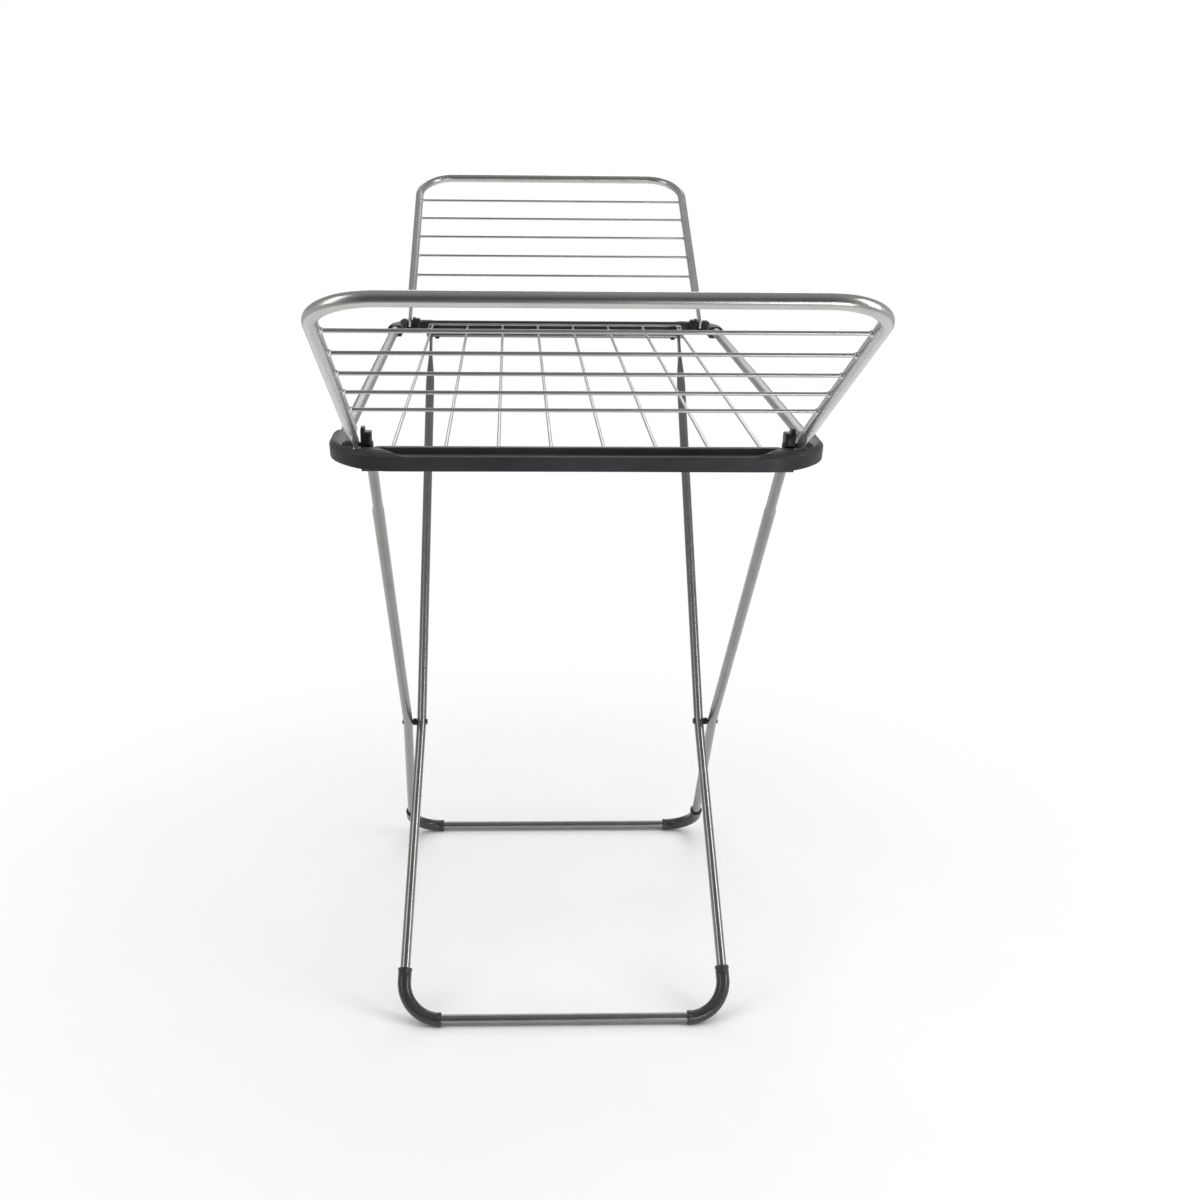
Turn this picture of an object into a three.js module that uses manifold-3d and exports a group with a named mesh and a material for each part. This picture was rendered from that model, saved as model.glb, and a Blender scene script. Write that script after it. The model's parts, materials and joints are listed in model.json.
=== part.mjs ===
// A free-standing winged clothes airer on crossed folding legs.
//
// X runs across the airer, Y along it and Z up from the floor. The origin is on the floor
// under the middle of the table. "Near" is the -Y end and "left" is the -X side. Both legs
// are U-shaped tube frames: the outer one hangs on pins under the near end cap, and the
// inner one carries a crossbar that is caught under the far end cap.

import * as THREE from "three";
import { mergeVertices } from "three/addons/utils/BufferGeometryUtils.js";
import Module from "manifold-3d";

const wasm = await Module();
wasm.setup();

// ------------------------------------------------------------ driving dimensions, mm

const TUBE_R = 7; // frame tube, outside
const TUBE_WALL = 0.9;
const WIRE_R = 2; // drying wires
const GAP = 0.3; // clearance between pieces that would touch

const TABLE_TOP = 870; // highest line of the end caps
const CAP_OUTER_X = 281;
const CAP_OUTER_Y = 505;
const CAP_INNER_Y = 475; // inner face of the cap's cross bar
const CAP_INNER_X = 256.5; // inner face of the cap's side arms
const CAP_ARM_END_Y = { near: 390, far: 425 }; // where the side tubes come out
const CAP_OUTER_CORNER_R = 75;
const CAP_INNER_CORNER_R = 14;

const SIDE_TUBE_X = 268.7;
const SIDE_TUBE_Z = 861;
const SIDE_TUBE_END_Y = 450;
const TABLE_WIRES = 8;
const TABLE_WIRE_PITCH = 59.6;
const TABLE_WIRE_Z = 860.5;
const TABLE_WIRE_END_Y = 483;
const CROSS_WIRE_Y = 471.5;

const WING_PIVOT_Y = 468;
const WING_PIVOT_Z = 869.7;
const WING_RISE = THREE.MathUtils.degToRad(27.7);
const WING_ARM_X = 246.3;
const WING_REACH = 458.5; // pivot to the middle of the outer bar
const WING_CORNER_R = 62;
const WING_WIRES = 5;
const WING_FIRST_WIRE = 137.7; // measured from the pivot
const WING_WIRE_PITCH = 60.5;
const WING_END_THICKNESS = 6; // flattened arm end, across X
const WING_END_WIDTH = 18.6;
const WING_FLAT_LENGTH = 44;

const LEG_TOP_Y = 465; // hinge line of the outer leg, and crossbar of the inner one
const LEG_TOP_Z = 848.5;
const LEG_CROSS_Z = 335; // the two frames cross over Y = 0
const FOOT_Z = 8.9; // centre of the foot bars
const FOOT_CORNER_R = 52;
const LEG_SPLAY_R = 260; // soft bend where the lower legs spread
// Each leg's upper ends are pressed to a thickness across X and a width, over a length
// from the hole, and swell to the round tube over the taper. The tip is beyond the hole.
const OUTER_LEG = {
  topX: 231, footX: 251.5, thickness: 11.8, width: 15.6, pressed: 88, taper: 6, tip: 7.2,
};
const INNER_LEG = {
  topX: 210.5, footX: 230.5, thickness: 5.2, width: 18.6, pressed: 24, taper: 76, tip: 9,
};
const CROSSBAR_R = 4.5;
const CROSSBAR_WALL = 1;
const CROSSBAR_HALF = 218;

const SLEEVE_R = 9.5; // plastic sleeve round each foot corner
const SLEEVE_UP_LEG = 67; // lengths measured from the corner of the centrelines
const SLEEVE_ALONG_BAR = 58;

const PIN_R = 2.8;
const PIN_HEAD_R = 4.7;
const PIN_HEAD = 2;
const PIN_SIDES = 12;

const LEG_SHOULDER = 0.55; // where the rounding of a leg's tip starts, as a share of the tip
const LEG_ANGLE = Math.atan2(LEG_TOP_Z - LEG_CROSS_Z, LEG_TOP_Y);
const LEG_UPPER = LEG_TOP_Y / Math.cos(LEG_ANGLE);
const LEG_LOWER = (LEG_CROSS_Z - FOOT_Z) / Math.sin(LEG_ANGLE);
const SIDES = [
  { name: "left", sign: -1 },
  { name: "right", sign: 1 },
];

// ------------------------------------------------------------ materials

const steel = new THREE.MeshStandardMaterial({ color: 0x9a9a98, roughness: 0.38, metalness: 0.85 });
const legSteel = new THREE.MeshStandardMaterial({ color: 0x7d7d7c, roughness: 0.42, metalness: 0.8 });
const wireSteel = new THREE.MeshStandardMaterial({ color: 0x868684, roughness: 0.35, metalness: 0.85 });
const charcoal = new THREE.MeshStandardMaterial({ color: 0x34363a, roughness: 0.48, metalness: 0 });
const blackPlastic = new THREE.MeshStandardMaterial({ color: 0x18191b, roughness: 0.5, metalness: 0 });
const pinSteel = new THREE.MeshStandardMaterial({ color: 0x4a4a4b, roughness: 0.45, metalness: 0.7 });

// ------------------------------------------------------------ solids, cuts and joins

function toSolid(geometry) {
  const bare = geometry.clone();
  bare.deleteAttribute("normal");
  bare.deleteAttribute("uv");
  const merged = mergeVertices(bare, 1e-4);
  const mesh = new wasm.Mesh({
    numProp: 3,
    vertProperties: Float32Array.from(merged.attributes.position.array),
    triVerts: Uint32Array.from(merged.index.array),
  });
  return new wasm.Manifold(mesh);
}

function toGeometry(solid) {
  const mesh = solid.getMesh();
  const geometry = new THREE.BufferGeometry();
  geometry.setAttribute("position", new THREE.BufferAttribute(mesh.vertProperties, 3));
  geometry.setIndex(new THREE.BufferAttribute(mesh.triVerts, 1));
  geometry.computeVertexNormals();
  return geometry;
}

function join(first, others) {
  return toGeometry(others.reduce((sum, other) => sum.add(toSolid(other)), toSolid(first)));
}

function cut(body, cutters) {
  return toGeometry(cutters.reduce((rest, cutter) => rest.subtract(toSolid(cutter)), toSolid(body)));
}

function box(x0, x1, y0, y1, z0, z1) {
  const geometry = new THREE.BoxGeometry(Math.abs(x1 - x0), Math.abs(y1 - y0), Math.abs(z1 - z0));
  return geometry.translate((x0 + x1) / 2, (y0 + y1) / 2, (z0 + z1) / 2);
}

function rodAlongX(radius, x0, x1, y, z, sides = 16) {
  const geometry = new THREE.CylinderGeometry(radius, radius, Math.abs(x1 - x0), sides);
  return geometry.rotateZ(Math.PI / 2).translate((x0 + x1) / 2, y, z);
}

function rodAlongY(radius, y0, y1, x, z, sides = 12) {
  const geometry = new THREE.CylinderGeometry(radius, radius, Math.abs(y1 - y0), sides);
  return geometry.translate(x, (y0 + y1) / 2, z);
}

// A plate whose outline is drawn in the YZ plane and whose thickness runs from x0 to x1.
function plateAlongX(outline, x0, x1) {
  const low = Math.min(x0, x1);
  const options = { depth: Math.abs(x1 - x0), bevelEnabled: false, curveSegments: 4 };
  const geometry = new THREE.ExtrudeGeometry(outline, options);
  const turn = new THREE.Matrix4().makeBasis(
    new THREE.Vector3(0, 1, 0),
    new THREE.Vector3(0, 0, 1),
    new THREE.Vector3(1, 0, 0),
  );
  return geometry.applyMatrix4(turn).translate(low, 0, 0);
}

// ------------------------------------------------------------ bent tubes

// A run of straight lines with arcs at its corners. The sweep puts one section at each
// end of every line and a few along each arc.
class BentPath extends THREE.Curve {
  static ARC_STEP = THREE.MathUtils.degToRad(18);

  constructor(corners) {
    super();
    this.stations = [];
    corners.forEach((corner, i) => this.addCorner(corners[i - 1], corner, corners[i + 1]));
  }

  addCorner(before, corner, after) {
    const { at, radius = 0 } = corner;
    const into = before ? at.clone().sub(before.at).normalize() : null;
    const out = after ? after.at.clone().sub(at).normalize() : into;
    if (!radius || !into || !after) {
      this.stations.push({ point: at.clone(), tangent: out.clone() });
      return;
    }
    const turn = into.angleTo(out);
    const side = out.clone().addScaledVector(into, -out.dot(into)).normalize();
    const start = at.clone().addScaledVector(into, -radius * Math.tan(turn / 2));
    const steps = Math.max(1, Math.round(turn / BentPath.ARC_STEP));
    for (let k = 0; k <= steps; k += 1) {
      const angle = (turn * k) / steps;
      const point = start.clone();
      point.addScaledVector(into, radius * Math.sin(angle));
      point.addScaledVector(side, radius * (1 - Math.cos(angle)));
      const tangent = into.clone().multiplyScalar(Math.cos(angle));
      tangent.addScaledVector(side, Math.sin(angle));
      this.stations.push({ point, tangent });
    }
  }

  stationAt(u) {
    return this.stations[Math.round(u * (this.stations.length - 1))];
  }

  getPointAt(u, target = new THREE.Vector3()) {
    return target.copy(this.stationAt(u).point);
  }

  getTangentAt(u, target = new THREE.Vector3()) {
    return target.copy(this.stationAt(u).tangent);
  }
}

// A round tube swept along the corners, open at both ends.
function sweptTube(corners, outerR, innerR, halfSides = 6) {
  const section = new THREE.Shape();
  section.absarc(0, 0, outerR, 0, Math.PI * 2, false);
  const bore = new THREE.Path();
  bore.absarc(0, 0, innerR, 0, Math.PI * 2, true);
  section.holes.push(bore);
  const path = new BentPath(corners);
  const steps = path.stations.length - 1;
  return new THREE.ExtrudeGeometry(section, { steps, extrudePath: path, curveSegments: halfSides });
}

// Presses the tube ends of a U frame drawn in its own XZ plane. profile(z) gives the
// scale across X and the scale through the frame's thickness at that height.
function pressEnds(geometry, armX, profile) {
  const places = geometry.attributes.position;
  for (let i = 0; i < places.count; i += 1) {
    const scale = profile(places.getZ(i));
    if (scale) {
      const middle = Math.sign(places.getX(i)) * armX;
      places.setX(i, middle + (places.getX(i) - middle) * scale.across);
      places.setY(i, places.getY(i) * scale.deep);
    }
  }
  return geometry;
}

const corner = (x, z, radius = 0) => ({ at: new THREE.Vector3(x, 0, z), radius });

// ------------------------------------------------------------ end caps

// Cap sections: each point is a share of the band's width, from its inner face to its
// outer face, and a drop below the table top.
const BAR_SECTION = [
  [0, 16], [0, 0.7], [0.04, 0], [0.26, 0], [0.31, 7.4],
  [0.82, 7.6], [0.88, 5.2], [0.96, 5.2], [1, 7.2], [1, 22.5],
];
const CORNER_SECTION = [
  [0, 17], [0, 4], [0.09, 1.6], [0.28, 0.3], [0.42, 0],
  [0.6, 0.2], [0.76, 1.2], [0.9, 3.4], [1, 8], [1, 22.5],
];
const ARM_SECTION = [
  [0.1, 19], [0, 8], [0.1, 3.4], [0.28, 0.8], [0.5, 0],
  [0.72, 0.8], [0.9, 3.4], [1, 8], [1, 15], [0.88, 20],
];
const CAP_RECESS_FADE = [172, 182, 192, 202]; // outer-edge X where the bar's recess fades out
const CAP_ARC_STEPS = 6;
const CAP_RIM = 3; // rounded rim at the end of each side arm
const CAP_RIM_SHRINK = 0.86;

function mixSections(from, to, share) {
  return from.map(([u, drop], i) => [
    THREE.MathUtils.lerp(u, to[i][0], share),
    THREE.MathUtils.lerp(drop, to[i][1], share),
  ]);
}

// Stations of the cap's +X half, from the middle of the bar to the end of the side arm.
function capStations(armEndY) {
  const outerTurn = { x: CAP_OUTER_X - CAP_OUTER_CORNER_R, y: CAP_OUTER_Y - CAP_OUTER_CORNER_R };
  const innerTurn = { x: CAP_INNER_X - CAP_INNER_CORNER_R, y: CAP_INNER_Y - CAP_INNER_CORNER_R };
  const stations = [{ inner: [0, CAP_INNER_Y], outer: [0, CAP_OUTER_Y], section: BAR_SECTION }];
  CAP_RECESS_FADE.forEach((x, i) => {
    stations.push({
      inner: [(x * innerTurn.x) / outerTurn.x, CAP_INNER_Y],
      outer: [x, CAP_OUTER_Y],
      section: mixSections(BAR_SECTION, CORNER_SECTION, i / (CAP_RECESS_FADE.length - 1)),
    });
  });
  for (let k = 1; k <= CAP_ARC_STEPS; k += 1) {
    const angle = (k / CAP_ARC_STEPS) * (Math.PI / 2);
    const [across, along] = [Math.sin(angle), Math.cos(angle)];
    stations.push({
      inner: [innerTurn.x + CAP_INNER_CORNER_R * across, innerTurn.y + CAP_INNER_CORNER_R * along],
      outer: [outerTurn.x + CAP_OUTER_CORNER_R * across, outerTurn.y + CAP_OUTER_CORNER_R * along],
      section: mixSections(CORNER_SECTION, ARM_SECTION, k / CAP_ARC_STEPS),
    });
  }
  const rim = ARM_SECTION.map(([u, drop]) => [
    0.5 + (u - 0.5) * CAP_RIM_SHRINK,
    TABLE_TOP - SIDE_TUBE_Z + (drop - TABLE_TOP + SIDE_TUBE_Z) * CAP_RIM_SHRINK,
  ]);
  const arm = [
    { y: armEndY + CAP_RIM, section: ARM_SECTION },
    { y: armEndY, section: rim },
  ];
  arm.forEach(({ y, section }) => {
    stations.push({ inner: [CAP_INNER_X, y], outer: [CAP_OUTER_X, y], section });
  });
  return stations;
}

// The C-shaped band of a cap, before anything is cut into it.
function capBand(armEndY) {
  const half = capStations(armEndY);
  const mirrored = half.slice(1).reverse().map(({ inner, outer, section }) => ({
    inner: [-inner[0], inner[1]],
    outer: [-outer[0], outer[1]],
    section,
  }));
  const stations = [...mirrored, ...half];
  const count = BAR_SECTION.length;
  const places = [];
  stations.forEach(({ inner, outer, section }) => {
    section.forEach(([u, drop]) => {
      const x = THREE.MathUtils.lerp(inner[0], outer[0], u);
      const y = THREE.MathUtils.lerp(inner[1], outer[1], u);
      places.push(x, -y, TABLE_TOP - drop);
    });
  });
  const faces = [];
  for (let s = 0; s + 1 < stations.length; s += 1) {
    for (let k = 0; k < count; k += 1) {
      const [a, b] = [s * count + k, s * count + ((k + 1) % count)];
      faces.push(a, b, a + count, b, b + count, a + count);
    }
  }
  const ends = [
    { first: 0, flip: true },
    { first: (stations.length - 1) * count, flip: false },
  ];
  ends.forEach(({ first, flip }) => {
    const ring = stations[first / count].section.map(([u, drop]) => new THREE.Vector2(u * 20, -drop));
    THREE.ShapeUtils.triangulateShape(ring, []).forEach(([a, b, c]) => {
      const turned = flip ? [a, b, c] : [a, c, b];
      faces.push(...turned.map((k) => first + k));
    });
  });
  const geometry = new THREE.BufferGeometry();
  geometry.setAttribute("position", new THREE.Float32BufferAttribute(places, 3));
  geometry.setIndex(faces);
  return geometry;
}

const HINGE_BLOCK = { x0: 221.5, x1: 241.2, backY: 452, bottomZ: 841, topZ: 861.3 };
const BLOCK_ROOT = { y: 490, z: 851 }; // how the blocks grow out of the bar's underside
const LEG_SLOT = { x0: 224.7, x1: 237.3, roofZ: 858.3 };
const EAR_BLOCK_X = 230; // inner face of the thicker ear
const EARS = {
  near: [
    { x0: 237, x1: 241.2, topZ: 890, halfY: 9 },
    { x0: EAR_BLOCK_X, x1: 237.5, topZ: 885, halfY: 10 },
  ],
  far: [
    { x0: 237, x1: 241.2, topZ: 877, halfY: 9 },
    { x0: EAR_BLOCK_X, x1: 237.5, topZ: 875.5, halfY: 10 },
  ],
};
const OUTER_BOSS = { x0: 251, x1: 259, r: 9 };
const ARM_POCKET = { x0: 241.6, x1: 250.9, r: 12.6 };
const PIVOT_BORE_END = 262.5;
const EAR_BASE_Z = 858.5;
const CATCH_ROOT_Y = 492; // how far under the bar the catches reach
const CATCH = { x0: 197, x1: 204, backY: 456, jawY: 461, bottomZ: 841.8, topZ: 858 };
const RIBS = { halfLength: 168, cells: 6, thickness: 2.6, wall: 3, roofZ: 857 };
const WIRE_BORE_END_Y = 484;

const tableWireX = (i) => (i - (TABLE_WIRES - 1) / 2) * TABLE_WIRE_PITCH;

// An upright ear with a rounded top, standing on the back of the bar.
function ear({ x0, x1, topZ, halfY }, sign) {
  const shoulder = topZ - halfY * 0.45;
  const outline = new THREE.Shape();
  outline.moveTo(-CAP_INNER_Y - 1, EAR_BASE_Z);
  outline.lineTo(-WING_PIVOT_Y + halfY, EAR_BASE_Z);
  outline.lineTo(-WING_PIVOT_Y + halfY, shoulder);
  outline.quadraticCurveTo(-WING_PIVOT_Y + halfY, topZ, -WING_PIVOT_Y + halfY * 0.4, topZ);
  outline.lineTo(-WING_PIVOT_Y - halfY * 0.4, topZ);
  outline.quadraticCurveTo(-WING_PIVOT_Y - halfY, topZ, -WING_PIVOT_Y - halfY, shoulder);
  outline.lineTo(-WING_PIVOT_Y - halfY, TABLE_TOP);
  outline.lineTo(-CAP_INNER_Y - 1, TABLE_TOP - 1);
  return plateAlongX(outline, sign * x0, sign * x1);
}

// The hook that holds the crossbar: open towards the middle of the table.
function crossbarCatch(sign) {
  const { backY, jawY, bottomZ, topZ } = CATCH;
  const mouth = CROSSBAR_R + 0.4;
  const outline = new THREE.Shape();
  outline.moveTo(-CATCH_ROOT_Y, topZ - 5);
  outline.lineTo(-CAP_INNER_Y + 4, bottomZ);
  outline.lineTo(-jawY - 1.5, bottomZ);
  outline.lineTo(-jawY, bottomZ + 1);
  outline.lineTo(-jawY, LEG_TOP_Z - mouth);
  outline.lineTo(-LEG_TOP_Y, LEG_TOP_Z - mouth);
  outline.absarc(-LEG_TOP_Y, LEG_TOP_Z, mouth, -Math.PI / 2, -Math.PI * 1.5, true);
  outline.lineTo(-backY, LEG_TOP_Z + mouth);
  outline.lineTo(-backY, topZ - 2);
  outline.lineTo(-backY - 2, topZ);
  outline.lineTo(-CATCH_ROOT_Y, topZ);
  return plateAlongX(outline, sign * CATCH.x0, sign * CATCH.x1);
}

// The notch that lets a wing arm dip behind the bar, with its sloping rest.
function armPocket(sign) {
  const { x0, x1, r } = ARM_POCKET;
  const halfWidth = WING_END_WIDTH / 2 + 0.5;
  const reach = 60;
  const slot = box(sign * x0, sign * x1, -reach, 0, -halfWidth, halfWidth + 12);
  slot.rotateX(-WING_RISE).translate(0, -WING_PIVOT_Y, WING_PIVOT_Z);
  return [slot, rodAlongX(r, sign * x0, sign * x1, -WING_PIVOT_Y, WING_PIVOT_Z, 16)];
}

function ribCells() {
  const { halfLength, cells, thickness, wall, roofZ } = RIBS;
  const pitch = (2 * halfLength) / cells;
  return Array.from({ length: cells }, (_, i) => {
    const x = -halfLength + i * pitch;
    const [y0, y1] = [-CAP_OUTER_Y + wall, -CAP_INNER_Y - wall];
    return box(x + thickness / 2, x + pitch - thickness / 2, y0, y1, TABLE_TOP - 40, roofZ);
  });
}

// One end cap, drawn at the near end. It holds either the leg hinges or the catches.
function endCap(holdsHinges) {
  const { x0, x1, backY, bottomZ, topZ } = HINGE_BLOCK;
  const armEndY = holdsHinges ? CAP_ARM_END_Y.near : CAP_ARM_END_Y.far;
  const ears = holdsHinges ? EARS.near : EARS.far;
  const additions = [];
  const cutters = [...ribCells()];
  SIDES.forEach(({ sign }) => {
    const blockBottom = holdsHinges ? bottomZ : EAR_BASE_Z - 5;
    const blockInner = holdsHinges ? x0 : EAR_BLOCK_X;
    const [blockStart, blockEnd] = [sign * blockInner, sign * x1];
    additions.push(box(blockStart, blockEnd, -CAP_INNER_Y - 1, -backY, blockBottom, topZ));
    additions.push(box(blockStart, blockEnd, -BLOCK_ROOT.y, -CAP_INNER_Y + 1, BLOCK_ROOT.z, topZ));
    additions.push(...ears.map((size) => ear(size, sign)));
    const boss = OUTER_BOSS;
    additions.push(rodAlongX(boss.r, sign * boss.x0, sign * boss.x1, -WING_PIVOT_Y, WING_PIVOT_Z - 4));
    cutters.push(rodAlongY(TUBE_R + GAP, -SIDE_TUBE_END_Y - 2, -armEndY + 5,
      sign * SIDE_TUBE_X, SIDE_TUBE_Z, 16));
    cutters.push(...armPocket(sign));
    cutters.push(rodAlongX(PIN_R + GAP, sign * (EAR_BLOCK_X - 2), sign * PIVOT_BORE_END,
      -WING_PIVOT_Y, WING_PIVOT_Z, 12));
    if (holdsHinges) {
      cutters.push(box(sign * LEG_SLOT.x0, sign * LEG_SLOT.x1, -CAP_INNER_Y, -backY + 5,
        bottomZ - 5, LEG_SLOT.roofZ));
      cutters.push(rodAlongX(PIN_R + GAP, sign * (x0 - 2), sign * (x1 + 2),
        -LEG_TOP_Y, LEG_TOP_Z, 12));
    } else {
      additions.push(crossbarCatch(sign));
    }
  });
  for (let i = 0; i < TABLE_WIRES; i += 1) {
    const start = -WIRE_BORE_END_Y;
    cutters.push(rodAlongY(WIRE_R + GAP, start, -CAP_INNER_Y + 3, tableWireX(i), TABLE_WIRE_Z, 8));
  }
  return cut(join(capBand(armEndY), additions), cutters);
}

// ------------------------------------------------------------ wings, legs and small parts

const wingWireAt = (i) => WING_FIRST_WIRE + i * WING_WIRE_PITCH;

// A wing's U tube, drawn upright with its pivot at the origin.
function wingFrame() {
  const tip = -10;
  const flatEnd = WING_FLAT_LENGTH;
  const roundStart = flatEnd + 16;
  const ends = [flatEnd, 0, -6];
  const corners = [
    corner(-WING_ARM_X, tip),
    ...ends.slice().reverse().map((z) => corner(-WING_ARM_X, z)),
    corner(-WING_ARM_X, roundStart),
    corner(-WING_ARM_X, WING_REACH, WING_CORNER_R),
    corner(WING_ARM_X, WING_REACH, WING_CORNER_R),
    corner(WING_ARM_X, roundStart),
    ...ends.map((z) => corner(WING_ARM_X, z)),
    corner(WING_ARM_X, tip),
  ];
  const tube = sweptTube(corners, TUBE_R, TUBE_R - TUBE_WALL);
  const across = WING_END_THICKNESS / (2 * TUBE_R);
  const deep = WING_END_WIDTH / (2 * TUBE_R);
  pressEnds(tube, WING_ARM_X, (z) => {
    if (z > flatEnd + 1) {
      return null;
    }
    const rounding = z < -8 ? 0.5 : z < -3 ? 0.86 : 1;
    return { across, deep: deep * rounding };
  });
  const cutters = [];
  SIDES.forEach(({ sign }) => {
    cutters.push(rodAlongX(PIN_R + GAP, sign * (WING_ARM_X - 8), sign * (WING_ARM_X + 8), 0, 0, 12));
    for (let i = 0; i < WING_WIRES; i += 1) {
      cutters.push(rodAlongX(WIRE_R + GAP, sign * (WING_ARM_X - 9), sign * (WING_ARM_X - 2),
        0, wingWireAt(i), 8));
    }
  });
  return cut(tube, cutters);
}

// A leg's U tube, drawn upright with the crossing point at the origin and its foot down.
function legCorners({ topX, footX, pressed, taper, tip }) {
  const ends = [LEG_UPPER + tip * LEG_SHOULDER, LEG_UPPER, LEG_UPPER - pressed];
  const roundStart = LEG_UPPER - pressed - taper;
  return [
    corner(-topX, LEG_UPPER + tip),
    ...ends.map((z) => corner(-topX, z)),
    corner(-topX, roundStart),
    corner(-topX, 0, LEG_SPLAY_R),
    corner(-footX, -LEG_LOWER, FOOT_CORNER_R),
    corner(footX, -LEG_LOWER, FOOT_CORNER_R),
    corner(topX, 0, LEG_SPLAY_R),
    corner(topX, roundStart),
    ...ends.slice().reverse().map((z) => corner(topX, z)),
    corner(topX, LEG_UPPER + tip),
  ];
}

function legFrame(leg, topHoleR) {
  const tube = sweptTube(legCorners(leg), TUBE_R, TUBE_R - TUBE_WALL);
  const across = leg.thickness / (2 * TUBE_R);
  const deep = leg.width / (2 * TUBE_R);
  pressEnds(tube, leg.topX, (z) => {
    if (z < LEG_UPPER - leg.pressed - 1) {
      return null;
    }
    const beyond = (z - LEG_UPPER) / leg.tip;
    const rounding = beyond > LEG_SHOULDER + 0.2 ? 0.42 : beyond > 0.4 ? 0.84 : 0.98;
    return { across, deep: deep * rounding };
  });
  const cutters = [];
  SIDES.forEach(({ sign }) => {
    const [x0, x1] = [sign * (leg.topX - 10), sign * (leg.topX + 10)];
    cutters.push(rodAlongX(topHoleR, x0, x1, 0, LEG_UPPER, 14));
    cutters.push(rodAlongX(PIN_R + GAP, x0, x1, 0, 0, 12));
  });
  return cut(tube, cutters);
}

// Turns a frame drawn upright so that its top leans to the far end (+1) or the near end (-1).
const legTurn = (lean) => -lean * (Math.PI / 2 - LEG_ANGLE);
const wingTurn = (lean) => -lean * (Math.PI / 2 - WING_RISE);

// A sleeve round one foot corner, cut flat where it stands on the floor.
function footSleeve({ topX, footX }, lean, sign) {
  const foot = new THREE.Vector3(sign * footX, 0, -LEG_LOWER);
  const upLeg = new THREE.Vector3(sign * topX, 0, 0).sub(foot).setLength(SLEEVE_UP_LEG);
  const corners = [
    { at: foot.clone().add(upLeg) },
    { at: foot, radius: FOOT_CORNER_R },
    corner(sign * (footX - SLEEVE_ALONG_BAR), -LEG_LOWER),
  ];
  const tube = sweptTube(corners, SLEEVE_R, TUBE_R + GAP);
  tube.rotateX(legTurn(lean)).translate(0, 0, LEG_CROSS_Z);
  return cut(tube, [box(-400, 400, -500, 500, -60, 0)]);
}

// A pin along X with a domed head. It starts under the head at x0 and ends at x1.
function headedPin(x0, x1, radius = PIN_R, headR = PIN_HEAD_R, tailHead = 0) {
  const length = Math.abs(x1 - x0);
  const profile = [
    new THREE.Vector2(0, -PIN_HEAD),
    new THREE.Vector2(headR * 0.7, -PIN_HEAD),
    new THREE.Vector2(headR, -PIN_HEAD * 0.4),
    new THREE.Vector2(headR, 0),
    new THREE.Vector2(radius, 0),
    new THREE.Vector2(radius, length),
  ];
  if (tailHead) {
    profile.push(new THREE.Vector2(tailHead, length), new THREE.Vector2(tailHead, length + 1));
    profile.push(new THREE.Vector2(tailHead * 0.6, length + 1.8), new THREE.Vector2(0, length + 1.8));
  } else {
    profile.push(new THREE.Vector2(0, length));
  }
  const geometry = new THREE.LatheGeometry(profile, PIN_SIDES);
  return geometry.rotateZ(x1 > x0 ? -Math.PI / 2 : Math.PI / 2).translate(x0, 0, 0);
}

function spacerRing() {
  const half = (OUTER_LEG.topX - INNER_LEG.topX) / 2 - TUBE_R - GAP;
  const profile = [
    new THREE.Vector2(PIN_R + GAP, -half),
    new THREE.Vector2(5.3, -half),
    new THREE.Vector2(5.3, half),
    new THREE.Vector2(PIN_R + GAP, half),
    new THREE.Vector2(PIN_R + GAP, -half),
  ];
  return new THREE.LatheGeometry(profile, PIN_SIDES).rotateZ(Math.PI / 2);
}

function straightTube(length, outerR, innerR) {
  const section = new THREE.Shape();
  section.absarc(0, 0, outerR, 0, Math.PI * 2, false);
  const bore = new THREE.Path();
  bore.absarc(0, 0, innerR, 0, Math.PI * 2, true);
  section.holes.push(bore);
  const options = { depth: length, bevelEnabled: false, curveSegments: 8 };
  return new THREE.ExtrudeGeometry(section, options).translate(0, 0, -length / 2);
}

// ------------------------------------------------------------ assembly

const airer = new THREE.Group();

function add(parent, name, geometry, material) {
  const mesh = new THREE.Mesh(geometry, material);
  mesh.name = name;
  parent.add(mesh);
  return mesh;
}

// Table: two caps, two side tubes and the wire grid.
add(airer, "near_end_cap", endCap(true), charcoal);
add(airer, "far_end_cap", endCap(false), charcoal).rotation.z = Math.PI;

SIDES.forEach(({ name, sign }) => {
  const tube = straightTube(2 * SIDE_TUBE_END_Y, TUBE_R, TUBE_R - TUBE_WALL).rotateX(Math.PI / 2);
  add(airer, `side_tube_${name}`, tube, steel).position.set(sign * SIDE_TUBE_X, 0, SIDE_TUBE_Z);
});

for (let i = 0; i < TABLE_WIRES; i += 1) {
  const wire = rodAlongY(WIRE_R, -TABLE_WIRE_END_Y, TABLE_WIRE_END_Y, 0, 0, 10);
  add(airer, `table_wire_${i + 1}`, wire, wireSteel).position.set(tableWireX(i), 0, TABLE_WIRE_Z);
}

const ENDS = [
  { name: "near", lean: -1, leg: INNER_LEG },
  { name: "far", lean: 1, leg: OUTER_LEG },
];

ENDS.forEach(({ name, lean }) => {
  const reach = tableWireX(TABLE_WIRES - 1) + 4;
  const wire = rodAlongX(WIRE_R, -reach, reach, 0, 0, 10);
  const place = [0, lean * CROSS_WIRE_Y, TABLE_WIRE_Z + 2 * WIRE_R + GAP];
  add(airer, `table_cross_wire_${name}`, wire, wireSteel).position.set(...place);
});

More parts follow.
